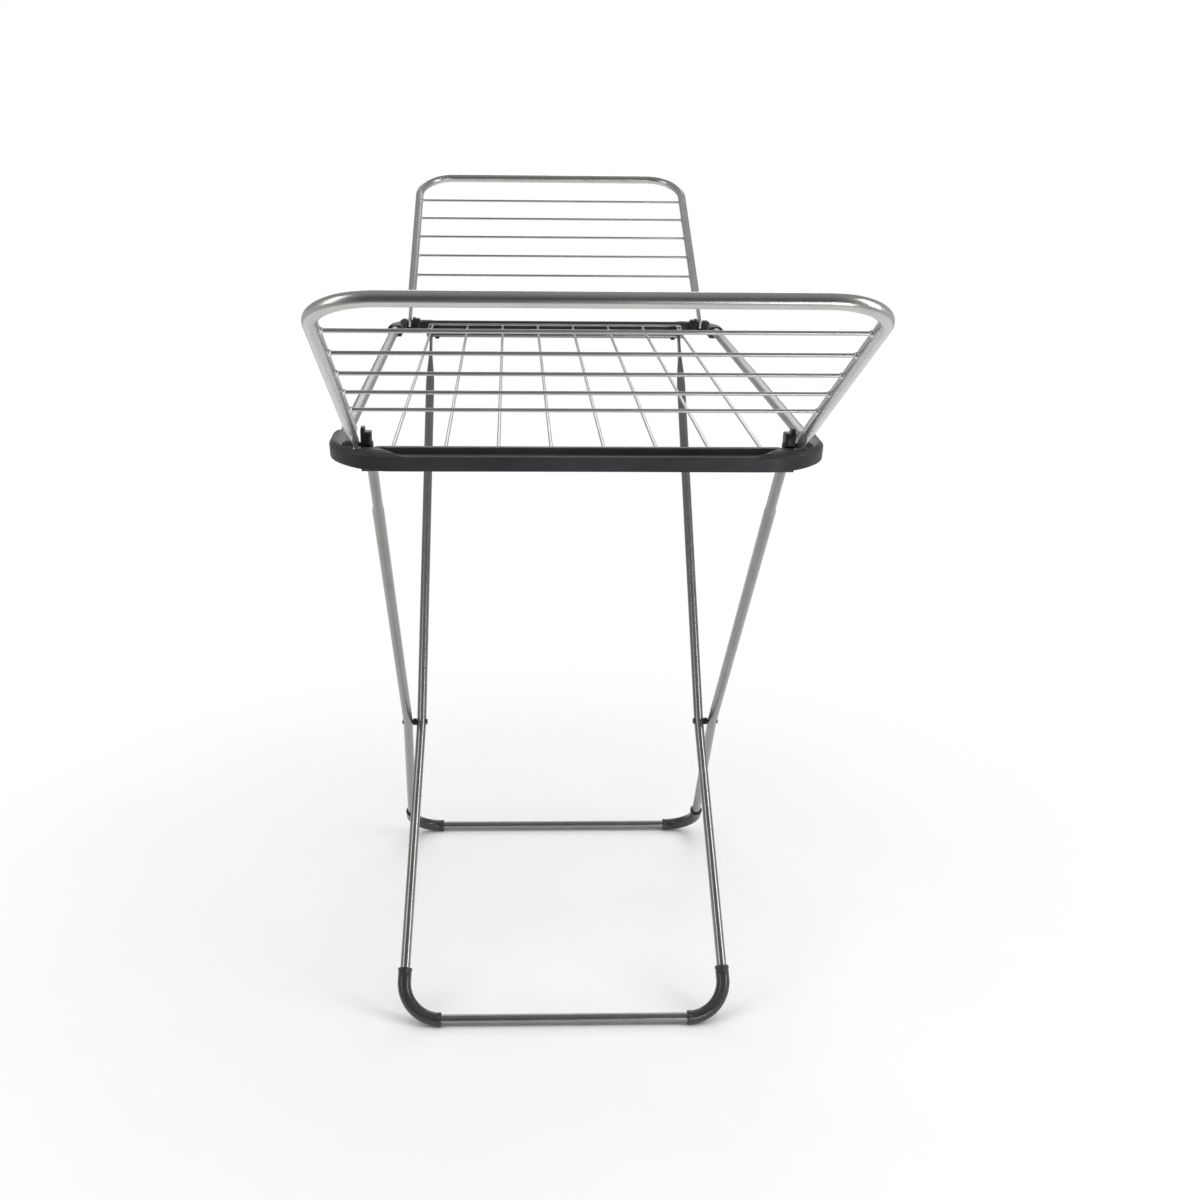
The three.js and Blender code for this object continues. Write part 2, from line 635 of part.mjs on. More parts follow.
// Wings, with the pins they turn on.
ENDS.forEach(({ name, lean }) => {
  const wing = new THREE.Group();
  wing.position.set(0, lean * WING_PIVOT_Y, WING_PIVOT_Z);
  wing.rotation.x = wingTurn(lean);
  airer.add(wing);
  add(wing, `${name}_wing_frame`, wingFrame(), steel);
  for (let i = 0; i < WING_WIRES; i += 1) {
    const half = WING_ARM_X - TUBE_R + 3;
    const wire = rodAlongX(WIRE_R, -half, half, 0, 0, 10);
    add(wing, `${name}_wing_wire_${i + 1}`, wire, wireSteel).position.z = wingWireAt(i);
  }
  SIDES.forEach((side) => {
    const start = side.sign * (EAR_BLOCK_X - GAP);
    const pin = headedPin(start, side.sign * (PIVOT_BORE_END - GAP));
    const place = [0, lean * WING_PIVOT_Y, WING_PIVOT_Z];
    add(airer, `wing_pivot_pin_${name}_${side.name}`, pin, pinSteel).position.set(...place);
  });
});

// Legs, hinge pins, crossing rivets, crossbar and foot sleeves.
const outerLeg = add(airer, "outer_leg_frame", legFrame(OUTER_LEG, PIN_R + GAP), legSteel);
outerLeg.position.z = LEG_CROSS_Z;
outerLeg.rotation.x = legTurn(-1);

const innerLeg = add(airer, "inner_leg_frame", legFrame(INNER_LEG, CROSSBAR_R + GAP), legSteel);
innerLeg.position.z = LEG_CROSS_Z;
innerLeg.rotation.x = legTurn(1);

const crossbar = straightTube(2 * CROSSBAR_HALF, CROSSBAR_R, CROSSBAR_R - CROSSBAR_WALL);
crossbar.rotateY(Math.PI / 2);
add(airer, "inner_leg_crossbar", crossbar, legSteel).position.set(0, LEG_TOP_Y, LEG_TOP_Z);

SIDES.forEach(({ name, sign }) => {
  const hinge = headedPin(sign * (HINGE_BLOCK.x0 - GAP), sign * (HINGE_BLOCK.x1 - GAP));
  add(airer, `leg_hinge_pin_${name}`, hinge, pinSteel).position.set(0, -LEG_TOP_Y, LEG_TOP_Z);
  const inner = sign * (INNER_LEG.topX - TUBE_R - GAP);
  const outer = sign * (OUTER_LEG.topX + TUBE_R + GAP);
  const rivet = headedPin(inner, outer, PIN_R, PIN_HEAD_R, PIN_HEAD_R - 0.4);
  add(airer, `crossing_rivet_${name}`, rivet, pinSteel).position.z = LEG_CROSS_Z;
  const middle = (sign * (INNER_LEG.topX + OUTER_LEG.topX)) / 2;
  add(airer, `crossing_spacer_${name}`, spacerRing(), blackPlastic).position.set(middle, 0, LEG_CROSS_Z);
});

ENDS.forEach(({ name, lean, leg }) => {
  SIDES.forEach((side) => {
    const sleeve = footSleeve(leg, -lean, side.sign);
    add(airer, `foot_sleeve_${name}_${side.name}`, sleeve, charcoal);
  });
});

export default airer;
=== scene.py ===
"""Looks for a folding winged clothes airer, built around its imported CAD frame.

Units are metres and +Z is up. The near end is -Y. Places come from the frame: the boxes of
the CAD nodes and the joints. Sizes inside the caps, which a box does not give, are named
constants. Each piece stands for a CAD node, or is a small detail beside one, and rides on
that node's body.
"""

import json
import math

import bmesh
import bpy
import numpy as np
from mathutils import Matrix, Vector


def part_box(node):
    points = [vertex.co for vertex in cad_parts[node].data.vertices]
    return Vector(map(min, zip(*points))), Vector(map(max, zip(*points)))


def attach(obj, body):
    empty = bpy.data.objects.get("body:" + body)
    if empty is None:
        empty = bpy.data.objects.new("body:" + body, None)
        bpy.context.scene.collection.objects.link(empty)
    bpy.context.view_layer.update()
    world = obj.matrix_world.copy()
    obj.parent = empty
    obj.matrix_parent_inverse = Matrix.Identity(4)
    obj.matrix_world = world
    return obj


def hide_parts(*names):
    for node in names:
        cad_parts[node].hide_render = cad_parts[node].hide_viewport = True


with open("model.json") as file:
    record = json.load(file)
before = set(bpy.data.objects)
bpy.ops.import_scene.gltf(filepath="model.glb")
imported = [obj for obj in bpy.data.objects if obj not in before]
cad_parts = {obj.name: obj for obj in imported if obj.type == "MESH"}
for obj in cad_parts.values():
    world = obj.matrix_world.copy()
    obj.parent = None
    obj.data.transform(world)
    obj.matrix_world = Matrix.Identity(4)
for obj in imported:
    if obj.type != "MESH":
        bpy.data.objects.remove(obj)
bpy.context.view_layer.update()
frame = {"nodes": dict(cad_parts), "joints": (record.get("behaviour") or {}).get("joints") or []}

# ---------------------------------------------------------------- dimensions

TUBE_R = 0.007
WIRE_R = 0.002
GAP = 0.0003
TUBE_SIDES = 40
WIRE_SIDES = 20
ARC_STEP = math.radians(4)

CAP_OUTER_CORNER_R = 0.075
CAP_INNER_CORNER_R = 0.014
CAP_BAR_DEPTH = 0.030
WING_CORNER_R = 0.062
FOOT_CORNER_R = 0.052
LEG_SPLAY_R = 0.26

SIDES = (("left", -1), ("right", 1))
ENDS = (("near", -1), ("far", 1))
JOINTS = {joint["name"]: joint for joint in frame["joints"]}


def centre(node):
    low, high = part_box(node)
    return (low + high) / 2


# ---------------------------------------------------------------- mesh helpers


def new_piece(name, verts, faces, uvs=None, smooth=True):
    """A mesh object from vertices and faces. uvs gives one pair per vertex of each face."""
    mesh = bpy.data.meshes.new(name)
    mesh.from_pydata([tuple(v) for v in verts], [], [tuple(f) for f in faces])
    if uvs is not None:
        layer = mesh.uv_layers.new(name="along")
        layer.data.foreach_set("uv", np.asarray(uvs, np.float32).ravel())
    mesh.validate()
    mesh.polygons.foreach_set("use_smooth", [smooth] * len(mesh.polygons))
    mesh.update()
    piece = bpy.data.objects.new(name, mesh)
    bpy.context.scene.collection.objects.link(piece)
    return piece


def sharpen(piece, degrees=35):
    """Keeps edges steeper than this crisp under smooth shading."""
    piece.data.set_sharp_from_angle(angle=math.radians(degrees))


def finish_piece(piece, body, material, nodes=()):
    """Gives a piece its material, the body it rides on and the CAD nodes it stands for."""
    piece.data.materials.clear()
    piece.data.materials.append(material)
    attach(piece, body)
    if nodes:
        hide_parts(*nodes)
    return piece


def piece_from(bm, name):
    """An object with the mesh built in bm, which is freed."""
    mesh = bpy.data.meshes.new(name)
    bm.to_mesh(mesh)
    bm.free()
    piece = bpy.data.objects.new(name, mesh)
    bpy.context.scene.collection.objects.link(piece)
    return piece


def joined(name, pieces):
    """One object from several, without merging their vertices."""
    bm = bmesh.new()
    for piece in pieces:
        bm.from_mesh(piece.data)
        old = piece.data
        bpy.data.objects.remove(piece)
        bpy.data.meshes.remove(old)
    return piece_from(bm, name)


def boolean(target, tools, operation):
    """Joins or cuts a closed mesh with closed tools, one after another, and removes them."""
    for tool in tools:
        modifier = target.modifiers.new("boolean", "BOOLEAN")
        modifier.operation = operation
        modifier.solver = "EXACT"
        modifier.object = tool
        graph = bpy.context.evaluated_depsgraph_get()
        result = bpy.data.meshes.new_from_object(target.evaluated_get(graph))
        target.modifiers.clear()
        target.data = result
        bpy.data.objects.remove(tool)
    return target


def block(name, low, high, bevel=0.0006, turn=None):
    """A box with rounded edges."""
    low, high = np.minimum(low, high), np.maximum(low, high)
    bm = bmesh.new()
    bmesh.ops.create_cube(bm, size=1)
    bmesh.ops.scale(bm, vec=Vector(high - low), verts=bm.verts)
    if bevel:
        bmesh.ops.bevel(bm, geom=bm.edges[:], offset=bevel, segments=2, affect="EDGES", profile=0.5)
    bmesh.ops.translate(bm, vec=Vector((high + low) / 2), verts=bm.verts)
    if turn:
        bmesh.ops.transform(bm, matrix=turn, verts=bm.verts)
    return piece_from(bm, name)


def plate(name, outline, x0, x1, bevel=0.0006):
    """A plate with its outline in the YZ plane, from x0 to x1, with rounded edges."""
    bm = bmesh.new()
    low, high = min(x0, x1), max(x0, x1)
    ring = [bm.verts.new((low, y, z)) for y, z in outline]
    face = bm.faces.new(ring)
    grown = bmesh.ops.extrude_face_region(bm, geom=[face])
    moved = [v for v in grown["geom"] if isinstance(v, bmesh.types.BMVert)]
    bmesh.ops.translate(bm, vec=(high - low, 0, 0), verts=moved)
    bmesh.ops.recalc_face_normals(bm, faces=bm.faces)
    if bevel:
        rims = [e for e in bm.edges if abs(e.verts[0].co.x - e.verts[1].co.x) < 1e-7]
        bmesh.ops.bevel(bm, geom=rims, offset=bevel, segments=2, affect="EDGES", profile=0.5)
    return piece_from(bm, name)


# ---------------------------------------------------------------- paths and sweeps


class Path:
    """Straight lines with arcs at the corners, with a plane normal for its sections."""

    def __init__(self, corners, radii, normal):
        self.normal = np.array(normal, float)
        points, tangents = [], []
        corners = [np.array(c, float) for c in corners]
        for i, (at, radius) in enumerate(zip(corners, radii)):
            into = unit(at - corners[i - 1]) if i else unit(corners[1] - at)
            out = unit(corners[i + 1] - at) if i + 1 < len(corners) else into
            if not radius:
                points.append(at)
                tangents.append(unit(into + out))
                continue
            turn = math.acos(np.clip(into @ out, -1, 1))
            side = unit(out - into * (out @ into))
            start = at - into * radius * math.tan(turn / 2)
            steps = max(2, math.ceil(turn / ARC_STEP))
            for angle in np.linspace(0, turn, steps + 1):
                arc = into * math.sin(angle) + side * (1 - math.cos(angle))
                points.append(start + radius * arc)
                tangents.append(into * math.cos(angle) + side * math.sin(angle))
        self.points = np.array(points)
        self.tangents = np.array(tangents)
        gaps = np.linalg.norm(np.diff(self.points, axis=0), axis=1)
        self.places = np.concatenate([[0], np.cumsum(gaps)])
        self.length = self.places[-1]

    def at(self, place):
        """The point, the tangent and the side direction at a length along the path."""
        k = int(np.clip(np.searchsorted(self.places, place) - 1, 0, len(self.points) - 2))
        share = (place - self.places[k]) / max(self.places[k + 1] - self.places[k], 1e-9)
        point = self.points[k] + share * (self.points[k + 1] - self.points[k])
        share = min(max(share, 0), 1)
        tangent = unit(self.tangents[k] * (1 - share) + self.tangents[k + 1] * share)
        return point, tangent, unit(np.cross(self.normal, tangent))

    def stops(self, low, high):
        """Where the path's own bends need a section, between two lengths."""
        return [s for s in self.places if low + 1e-5 < s < high - 1e-5]


def unit(vector):
    return vector / np.linalg.norm(vector)


def sweep(name, path, rings, sides, loop=False):
    """Skins rings along a path: (place, radius across, radius through[, offset across])."""
    angles = np.linspace(0, 2 * math.pi, sides, endpoint=False)
    cosines, sines = np.cos(angles)[:, None], np.sin(angles)[:, None]
    verts = []
    for place, across, through, *offset in rings:
        point, _, side = path.at(place)
        point = point + side * (offset[0] if offset else 0.0)
        verts.append(point + cosines * side * across + sines * path.normal * through)
    verts = np.concatenate(verts)
    count = len(rings)
    faces, uvs = [], []
    girth = 2 * math.pi * max(ring[1] for ring in rings)
    for r in range(count if loop else count - 1):
        after = (r + 1) % count
        for k in range(sides):
            n = (k + 1) % sides
            faces.append((r * sides + k, r * sides + n, after * sides + n, after * sides + k))
            u0, u1 = rings[r][0], rings[after][0]
            v0, v1 = girth * k / sides, girth * (k + 1) / sides
            uvs += [(u0, v0), (u0, v1), (u1, v1), (u1, v0)]
    if not loop:
        for ring, flip in ((0, True), (count - 1, False)):
            indices = [ring * sides + k for k in range(sides)]
            faces.append(indices[::-1] if flip else indices)
            uvs += [(rings[ring][0], girth * k / sides) for k in range(sides)]
    return fix_normals(new_piece(name, verts, faces, uvs))


def fix_normals(piece):
    """Turns every face outwards."""
    bm = bmesh.new()
    bm.from_mesh(piece.data)
    bmesh.ops.recalc_face_normals(bm, faces=bm.faces)
    bm.to_mesh(piece.data)
    bm.free()
    return piece


def rounded_rod(name, path, radius, sides, low=None, high=None, rim=0.0005):
    """A solid rod along a path, with softly rounded ends."""
    low = 0.0 if low is None else low
    high = path.length if high is None else high
    start = [(low + rim * (1 - math.cos(a)), radius - rim * (1 - math.sin(a))) for a in quarter()]
    rings = [(s, r, r) for s, r in start]
    rings += [(s, radius, radius) for s in path.stops(low + rim, high - rim)]
    rings += [(high - (s - low), r, r) for s, r in reversed(start)]
    piece = sweep(name, path, rings, sides)
    sharpen(piece, 50)
    return piece


def quarter(steps=4):
    """Angles of a quarter turn, both ends included."""
    return [math.pi / 2 * k / steps for k in range(steps + 1)]


def lathe(name, profile, start, direction, sides=32):
    """Turns (distance along, radius) pairs about a level line through start."""
    direction = unit(np.array(direction, float))
    across = unit(np.cross(direction, (0.0, 0.0, 1.0)))
    start = np.array(start, float)
    path = Path([start, start + direction], [0, 0], across)
    rings = [(s, max(r, 1e-5), max(r, 1e-5)) for s, r in profile]
    closed = profile[0] == profile[-1]
    piece = sweep(name, path, rings[:-1] if closed else rings, sides, loop=closed)
    sharpen(piece, 40)
    return piece


# ---------------------------------------------------------------- materials


def material(name):
    made = bpy.data.materials.new(name)
    made.use_nodes = True
    nodes, links = made.node_tree.nodes, made.node_tree.links
    return made, nodes, links, nodes["Principled BSDF"]


def noise(nodes, links, scale, detail, source="Object", stretch=(1, 1, 1)):
    """A noise texture on object or UV coordinates, in features per metre."""
    where = nodes.new("ShaderNodeTexCoord")
    mapping = nodes.new("ShaderNodeMapping")
    mapping.inputs["Scale"].default_value = stretch
    texture = nodes.new("ShaderNodeTexNoise")
    texture.inputs["Scale"].default_value = scale
    texture.inputs["Detail"].default_value = detail
    links.new(where.outputs[source], mapping.inputs["Vector"])
    links.new(mapping.outputs["Vector"], texture.inputs["Vector"])
    return texture.outputs["Fac"]


def ramp(nodes, links, source, low, high, first, last):
    """Maps a value from low..high to first..last. Grey numbers or colours."""
    node = nodes.new("ShaderNodeValToRGB")
    node.color_ramp.elements[0].position = low
    node.color_ramp.elements[1].position = high
    for element, value in zip(node.color_ramp.elements, (first, last)):
        colour = value if isinstance(value, tuple) else (value, value, value)
        element.color = (*colour, 1)
    links.new(source, node.inputs["Fac"])
    return node.outputs["Color"]


def bump(nodes, links, shader, layers):
    """Stacks bump layers, each (height, strength, distance)."""
    previous = None
    for height, strength, distance in layers:
        node = nodes.new("ShaderNodeBump")
        node.inputs["Strength"].default_value = strength
        node.inputs["Distance"].default_value = distance
        links.new(height, node.inputs["Height"])
        if previous:
            links.new(previous, node.inputs["Normal"])
        previous = node.outputs["Normal"]
    links.new(previous, shader.inputs["Normal"])


def lacquered_steel(name, tint, rough, source="Object"):
    """Silver-grey metallic lacquer on drawn steel: soft flakes, drawing lines, orange peel."""
    made, nodes, links, shader = material(name)
    shader.inputs["Metallic"].default_value = 0.88
    shader.inputs["Coat Weight"].default_value = 0.12
    shader.inputs["Coat Roughness"].default_value = 0.22
    along = (18, 900, 1) if source == "UV" else (260, 260, 260)
    lines = noise(nodes, links, 1.0 if source == "UV" else 1.6, 3, source, along)
    cloud = noise(nodes, links, 22, 3)
    flakes = noise(nodes, links, 2600, 1)
    dark = tuple(c * 0.9 for c in tint)
    light = tuple(min(1, c * 1.1) for c in tint)
    mix = nodes.new("ShaderNodeMix")
    mix.data_type = "RGBA"
    mix.inputs["Factor"].default_value = 0.35
    links.new(ramp(nodes, links, cloud, 0.3, 0.7, dark, light), mix.inputs[6])
    links.new(ramp(nodes, links, flakes, 0.35, 0.65, dark, light), mix.inputs[7])
    links.new(mix.outputs[2], shader.inputs["Base Color"])
    gloss = ramp(nodes, links, lines, 0.3, 0.7, rough - 0.02, rough + 0.03)
    links.new(gloss, shader.inputs["Roughness"])
    bump(nodes, links, shader, [(lines, 0.04, 0.00006), (flakes, 0.03, 0.00005)])
    return made


def moulded_plastic(name, tint, rough, grain=2200, flow=0.25, gloss=0.28):
    """Moulded plastic: fine spark-eroded grain, faint flow marks and uneven gloss."""
    made, nodes, links, shader = material(name)
    shader.inputs["Specular IOR Level"].default_value = gloss
    shader.inputs["Sheen Weight"].default_value = 0.04
    cloud = noise(nodes, links, 14, 4, stretch=(1, 2.2, 2.2))
    fine = noise(nodes, links, grain, 2)
    scuffs = noise(nodes, links, 90, 5, stretch=(1, 4, 4))
    dark = tuple(c * (1 - flow) for c in tint)
    light = tuple(c * (1 + flow) for c in tint)
    links.new(ramp(nodes, links, cloud, 0.32, 0.68, dark, light), shader.inputs["Base Color"])
    worn = ramp(nodes, links, scuffs, 0.35, 0.75, rough - 0.05, rough + 0.09)
    links.new(worn, shader.inputs["Roughness"])
    bump(nodes, links, shader, [(cloud, 0.05, 0.0015), (fine, 0.16, 0.00016)])
    return made


def dark_metal(name, tint, rough):
    """Blackened or plated steel of pins and rivets, with worn patches."""
    made, nodes, links, shader = material(name)
    shader.inputs["Metallic"].default_value = 0.9
    wear = noise(nodes, links, 420, 4)
    turned = noise(nodes, links, 1800, 2)
    worn = tuple(min(1, c * 2.1) for c in tint)
    links.new(ramp(nodes, links, wear, 0.5, 0.72, tint, worn), shader.inputs["Base Color"])
    links.new(ramp(nodes, links, wear, 0.4, 0.7, rough, rough - 0.1), shader.inputs["Roughness"])
    bump(nodes, links, shader, [(turned, 0.2, 0.0001)])
    return made


# All the steel wears one silver-grey lacquer. The tints below differ only as painted light and shade:
# the legs and the table tubes get darker copies as painted shade, and the wings and wires get lighter
# ones.
WING_STEEL = lacquered_steel("wing_lacquer", (0.52, 0.52, 0.505), 0.27, "UV")
TABLE_STEEL = lacquered_steel("table_lacquer", (0.38, 0.38, 0.37), 0.46, "UV")
LEG_STEEL = lacquered_steel("leg_lacquer", (0.27, 0.27, 0.265), 0.25, "UV")
WIRE_STEEL = lacquered_steel("wire_lacquer", (0.46, 0.46, 0.45), 0.36, "UV")
# The weld beads get the lightest copy of the lacquer, as a painted highlight.
WELD_STEEL = lacquered_steel("weld_lacquer", (0.62, 0.62, 0.60), 0.28)
CAP_PLASTIC = moulded_plastic("cap_charcoal", (0.034, 0.035, 0.038), 0.44, gloss=0.22)
EAR_PLASTIC = moulded_plastic("ear_black", (0.011, 0.011, 0.012), 0.40)
FOOT_PLASTIC = moulded_plastic("foot_charcoal", (0.034, 0.035, 0.038), 0.27, grain=1800, gloss=0.5)
SPACER_PLASTIC = moulded_plastic("spacer_black", (0.010, 0.010, 0.011), 0.42, grain=3000)
PIN_METAL = dark_metal("pin_metal", (0.10, 0.10, 0.105), 0.42)

# ---------------------------------------------------------------- wings


def pressed_arm(radius, flat):
    """Rings of a tube end pressed flat: a rounded tongue, the flat, and a smooth swell."""
    rings = []
    tip, across, through = flat["tip"], flat["across"], flat["through"]
    offset = flat.get("offset", 0.0)
    for k in range(7):
        angle = math.pi / 2 * k / 6
        shrink = max(math.sin(angle), 0.12)
        edge = 0.35 + 0.65 * min(1.0, k / 2)
        rings.append((tip * (1 - math.cos(angle)), across * edge, through * shrink, offset))
    flat_end = tip + flat["length"]
    rings.append((flat_end, across, through, offset))
    for k in range(1, 9):
        share = k / 8
        ease = share * share * (3 - 2 * share)
        wide = across + (radius - across) * ease
        deep = through + (radius - through) * ease
        rings.append((flat_end + share * flat["swell"], wide, deep, offset * (1 - ease)))
    return rings


def pressed_tube(name, path, flat):
    """A round tube along a path, with both of its ends pressed flat."""
    arm = pressed_arm(TUBE_R, flat)
    round_start = arm[-1][0]
    middle = [(s, TUBE_R, TUBE_R) for s in path.stops(round_start, path.length - round_start)]
    other = [(path.length - place, *sizes) for place, *sizes in reversed(arm)]
    tube = sweep(name, path, arm + middle + other, TUBE_SIDES)
    sharpen(tube, 60)
    return tube


WING_FLAT = {"across": 0.003, "through": 0.0093, "tip": 0.010, "length": 0.044, "swell": 0.022}
WELD_SINK = 0.0012  # how deep a weld collar starts inside the tube's wall


def build_wing(end, sign):
    """One wing: its U tube, five wires and the weld collars where they enter the arms."""
    body = f"{end}_wing"
    pivot = np.array(JOINTS[f"{end}_wing_fold"]["pos_m"])
    wires = [np.array(centre(f"{end}_wing_wire_{i}")) for i in range(1, 6)]
    rise = unit(wires[-1] - wires[0])
    low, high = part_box(f"{end}_wing_frame")
    arm_x = high.x - TUBE_R
    tip_y = high.y if sign > 0 else low.y
    reach = (abs(tip_y - pivot[1]) - TUBE_R) / abs(rise[1])
    normal = unit(np.cross((1.0, 0.0, 0.0), rise))
    tip = WING_FLAT["tip"]
    corners = [(-arm_x, -tip), (-arm_x, reach), (arm_x, reach), (arm_x, -tip)]
    places = [pivot + np.array((x, 0, 0)) + rise * r for x, r in corners]
    path = Path(places, [0, WING_CORNER_R, WING_CORNER_R, 0], normal)
    tube = pressed_tube(f"{end}_wing_tube", path, WING_FLAT)
    finish_piece(tube, body, WING_STEEL, [f"{end}_wing_frame"])
    collars = []
    for i, middle_point in enumerate(wires, 1):
        node = f"{end}_wing_wire_{i}"
        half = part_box(node)[1].x
        ends = [middle_point + np.array((x, 0, 0)) for x in (-half, half)]
        wire = rounded_rod(f"{end}_wing_rod_{i}", Path(ends, [0, 0], normal), WIRE_R, WIRE_SIDES)
        finish_piece(wire, body, WIRE_STEEL, [node])
        for side, x_sign in SIDES:
            start = middle_point + np.array((x_sign * (arm_x - TUBE_R + WELD_SINK), 0, 0))
            collars.append(weld_collar(f"collar_{end}_{i}_{side}", start, (-x_sign, 0, 0)))
    finish_piece(joined(f"{end}_wing_welds", collars), body, WELD_STEEL)


def weld_collar(name, start, direction, reach=0.0032, width=0.0036):
    """The bead of metal round a wire where it enters a tube."""
    profile = [(0.0, WIRE_R), (0.0, width)]
    for angle in quarter(5)[1:]:
        profile.append((reach * math.sin(angle), WIRE_R + (width - WIRE_R) * math.cos(angle)))
    profile.append((0.0, WIRE_R))
    return lathe(name, profile, start, direction, 20)


for end_name, end_sign in ENDS:
    build_wing(end_name, end_sign)

# ---------------------------------------------------------------- legs

# The outer leg's ends are squeezed from the outside; the inner leg's taper to a thin blade.
OUTER_FLAT = {
    "across": 0.0058, "through": 0.0078, "tip": 0.0072,
    "length": 0.087, "swell": 0.014, "offset": 0.0004,
}
INNER_FLAT = {"across": 0.0026, "through": 0.0093, "tip": 0.0090, "length": 0.024, "swell": 0.076}
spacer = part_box("crossing_spacer_right")
CROSSING = np.array(JOINTS["inner_leg_scissor"]["pos_m"])
HINGE = np.array(JOINTS["outer_leg_fold"]["pos_m"])


def leg_path(node, top_x, lean, tip_length):
    """The centreline of one U leg, from one top end round the foot to the other."""
    low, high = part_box(node)
    foot_x = high.x - TUBE_R
    foot_y = low.y + TUBE_R if lean > 0 else high.y - TUBE_R
    foot_z = np.interp(abs(foot_y), [0, abs(HINGE[1])], [CROSSING[2], 2 * CROSSING[2] - HINGE[2]])
    top = np.array((0, lean * abs(HINGE[1]), HINGE[2]))
    foot = np.array((0, foot_y, foot_z))
    rise = unit(top - CROSSING)
    tip = top + rise * tip_length
    half_row = [(tip, top_x), (CROSSING, top_x), (foot, foot_x)]
    row = [(point, -x) for point, x in half_row] + half_row[::-1]
    places = [point + np.array((x, 0, 0)) for point, x in row]
    radii = [0, LEG_SPLAY_R, FOOT_CORNER_R, FOOT_CORNER_R, LEG_SPLAY_R, 0]
    return Path(places, radii, unit(np.cross((1.0, 0.0, 0.0), rise)))


def build_leg(name, node, top_x, lean, flat):
    """One U leg. Its path is returned for the sleeves."""
    path = leg_path(node, top_x, lean, flat["tip"])
    tube = pressed_tube(f"{name}_tube", path, flat)
    finish_piece(tube, name, LEG_STEEL, [node])
    return path


SLEEVE = {
    "r": 0.0095, "up": 0.067, "along": 0.058, "rim": 0.0014,
    "bead": 0.0006, "bead_width": 0.0022, "step": 0.001, "chamfer": 0.0004, "end": 0.006,
}


def build_sleeve(body, node, path, x_sign):
    """A plastic sleeve round one foot corner: rolled rims with end beads, and a flat sole."""
    low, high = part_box(node)
    inner_end = low.x if x_sign > 0 else -high.x
    arc = FOOT_CORNER_R * math.pi / 2
    reach = SLEEVE["along"] - FOOT_CORNER_R + arc + SLEEVE["up"] - FOOT_CORNER_R
    start = path.length / 2 + (inner_end if x_sign > 0 else -inner_end - reach)
    stop = start + reach
    outer, inner = SLEEVE["r"], TUBE_R + GAP
    mouth = inner + SLEEVE["chamfer"]
    rim, bead, step = SLEEVE["rim"], SLEEVE["bead"], SLEEVE["step"]
    bead_end = rim + SLEEVE["bead_width"]
    opening = []
    for angle in reversed(quarter(4)):
        opening.append((rim * (1 - math.sin(angle)), outer + bead - rim * (1 - math.cos(angle)) * 0.9))
    opening += [(bead_end, outer + bead), (bead_end + step, outer)]
    stops = path.stops(start + SLEEVE["end"], stop - SLEEVE["end"])
    rings = [(start + s, r, r) for s, r in opening]
    rings += [(s, outer, outer) for s in stops]
    rings += [(stop - s, r, r) for s, r in reversed(opening)]
    rings += [(stop, mouth, mouth), (stop - step, inner, inner)]
    rings += [(s, inner, inner) for s in reversed(stops)]
    rings += [(start + step, inner, inner), (start, mouth, mouth)]
    sleeve = sweep(node.replace("foot_sleeve", "foot_shoe"), path, rings, 36, loop=True)
    flatten_sole(sleeve, 0.0)
    sharpen(sleeve, 40)
    finish_piece(sleeve, body, FOOT_PLASTIC, [node])


def flatten_sole(piece, level):
    """Presses what lies below a level flat, as the sole that stands on the floor."""
    for vertex in piece.data.vertices:
        vertex.co.z = max(vertex.co.z, level)


outer_x = spacer[1].x + GAP + TUBE_R
inner_x = spacer[0].x - GAP - TUBE_R
outer_path = build_leg("outer_leg", "outer_leg_frame", outer_x, -1, OUTER_FLAT)
inner_path = build_leg("inner_leg", "inner_leg_frame", inner_x, 1, INNER_FLAT)
for side_name, side_sign in SIDES:
    build_sleeve("outer_leg", f"foot_sleeve_far_{side_name}", outer_path, side_sign)
    build_sleeve("inner_leg", f"foot_sleeve_near_{side_name}", inner_path, side_sign)

# ---------------------------------------------------------------- pins, rivets, spacers, crossbar

HEAD = {"r": 0.0047, "height": 0.002, "shaft": 0.0028}
TAIL_HEAD = {"r": 0.0043, "height": 0.0017, "neck": 0.0018}
SPACER = {"edge": 0.0006, "groove": 0.0007, "depth": 0.0008}  # bevel, and the groove round the middle
PIN_CHAMFER = 0.0004
PIN_BORE_R = HEAD["shaft"] + GAP


def headed_pin(name, node, tail_head):
    """A pin across X with a domed head on its inner end, and a second head if it is a rivet."""
    low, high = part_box(node)
    sign = 1 if (low.x + high.x) > 0 else -1
    inner_end, outer_end = (low.x, high.x) if sign > 0 else (high.x, low.x)
    length = abs(outer_end - inner_end)
    y, z = centre(node).y, centre(node).z
    dome = [(HEAD["height"] * (1 - math.cos(a)) * 0.8, HEAD["r"] * math.sin(a)) for a in quarter(6)]
    profile = dome + [(HEAD["height"], HEAD["r"]), (HEAD["height"], HEAD["shaft"])]
    if tail_head:
        neck = length - TAIL_HEAD["neck"]
        profile += [(neck, HEAD["shaft"]), (neck, TAIL_HEAD["r"])]
        for angle in quarter(5)[1:]:
            rise = TAIL_HEAD["height"] * math.sin(angle)
            profile.append((neck + rise, TAIL_HEAD["r"] * math.cos(angle)))
    else:
        profile += [(length - PIN_CHAMFER, HEAD["shaft"]), (length, HEAD["shaft"] - PIN_CHAMFER)]
        profile.append((length, 0))
    return lathe(name, profile, (inner_end, y, z), (sign, 0, 0), 28)


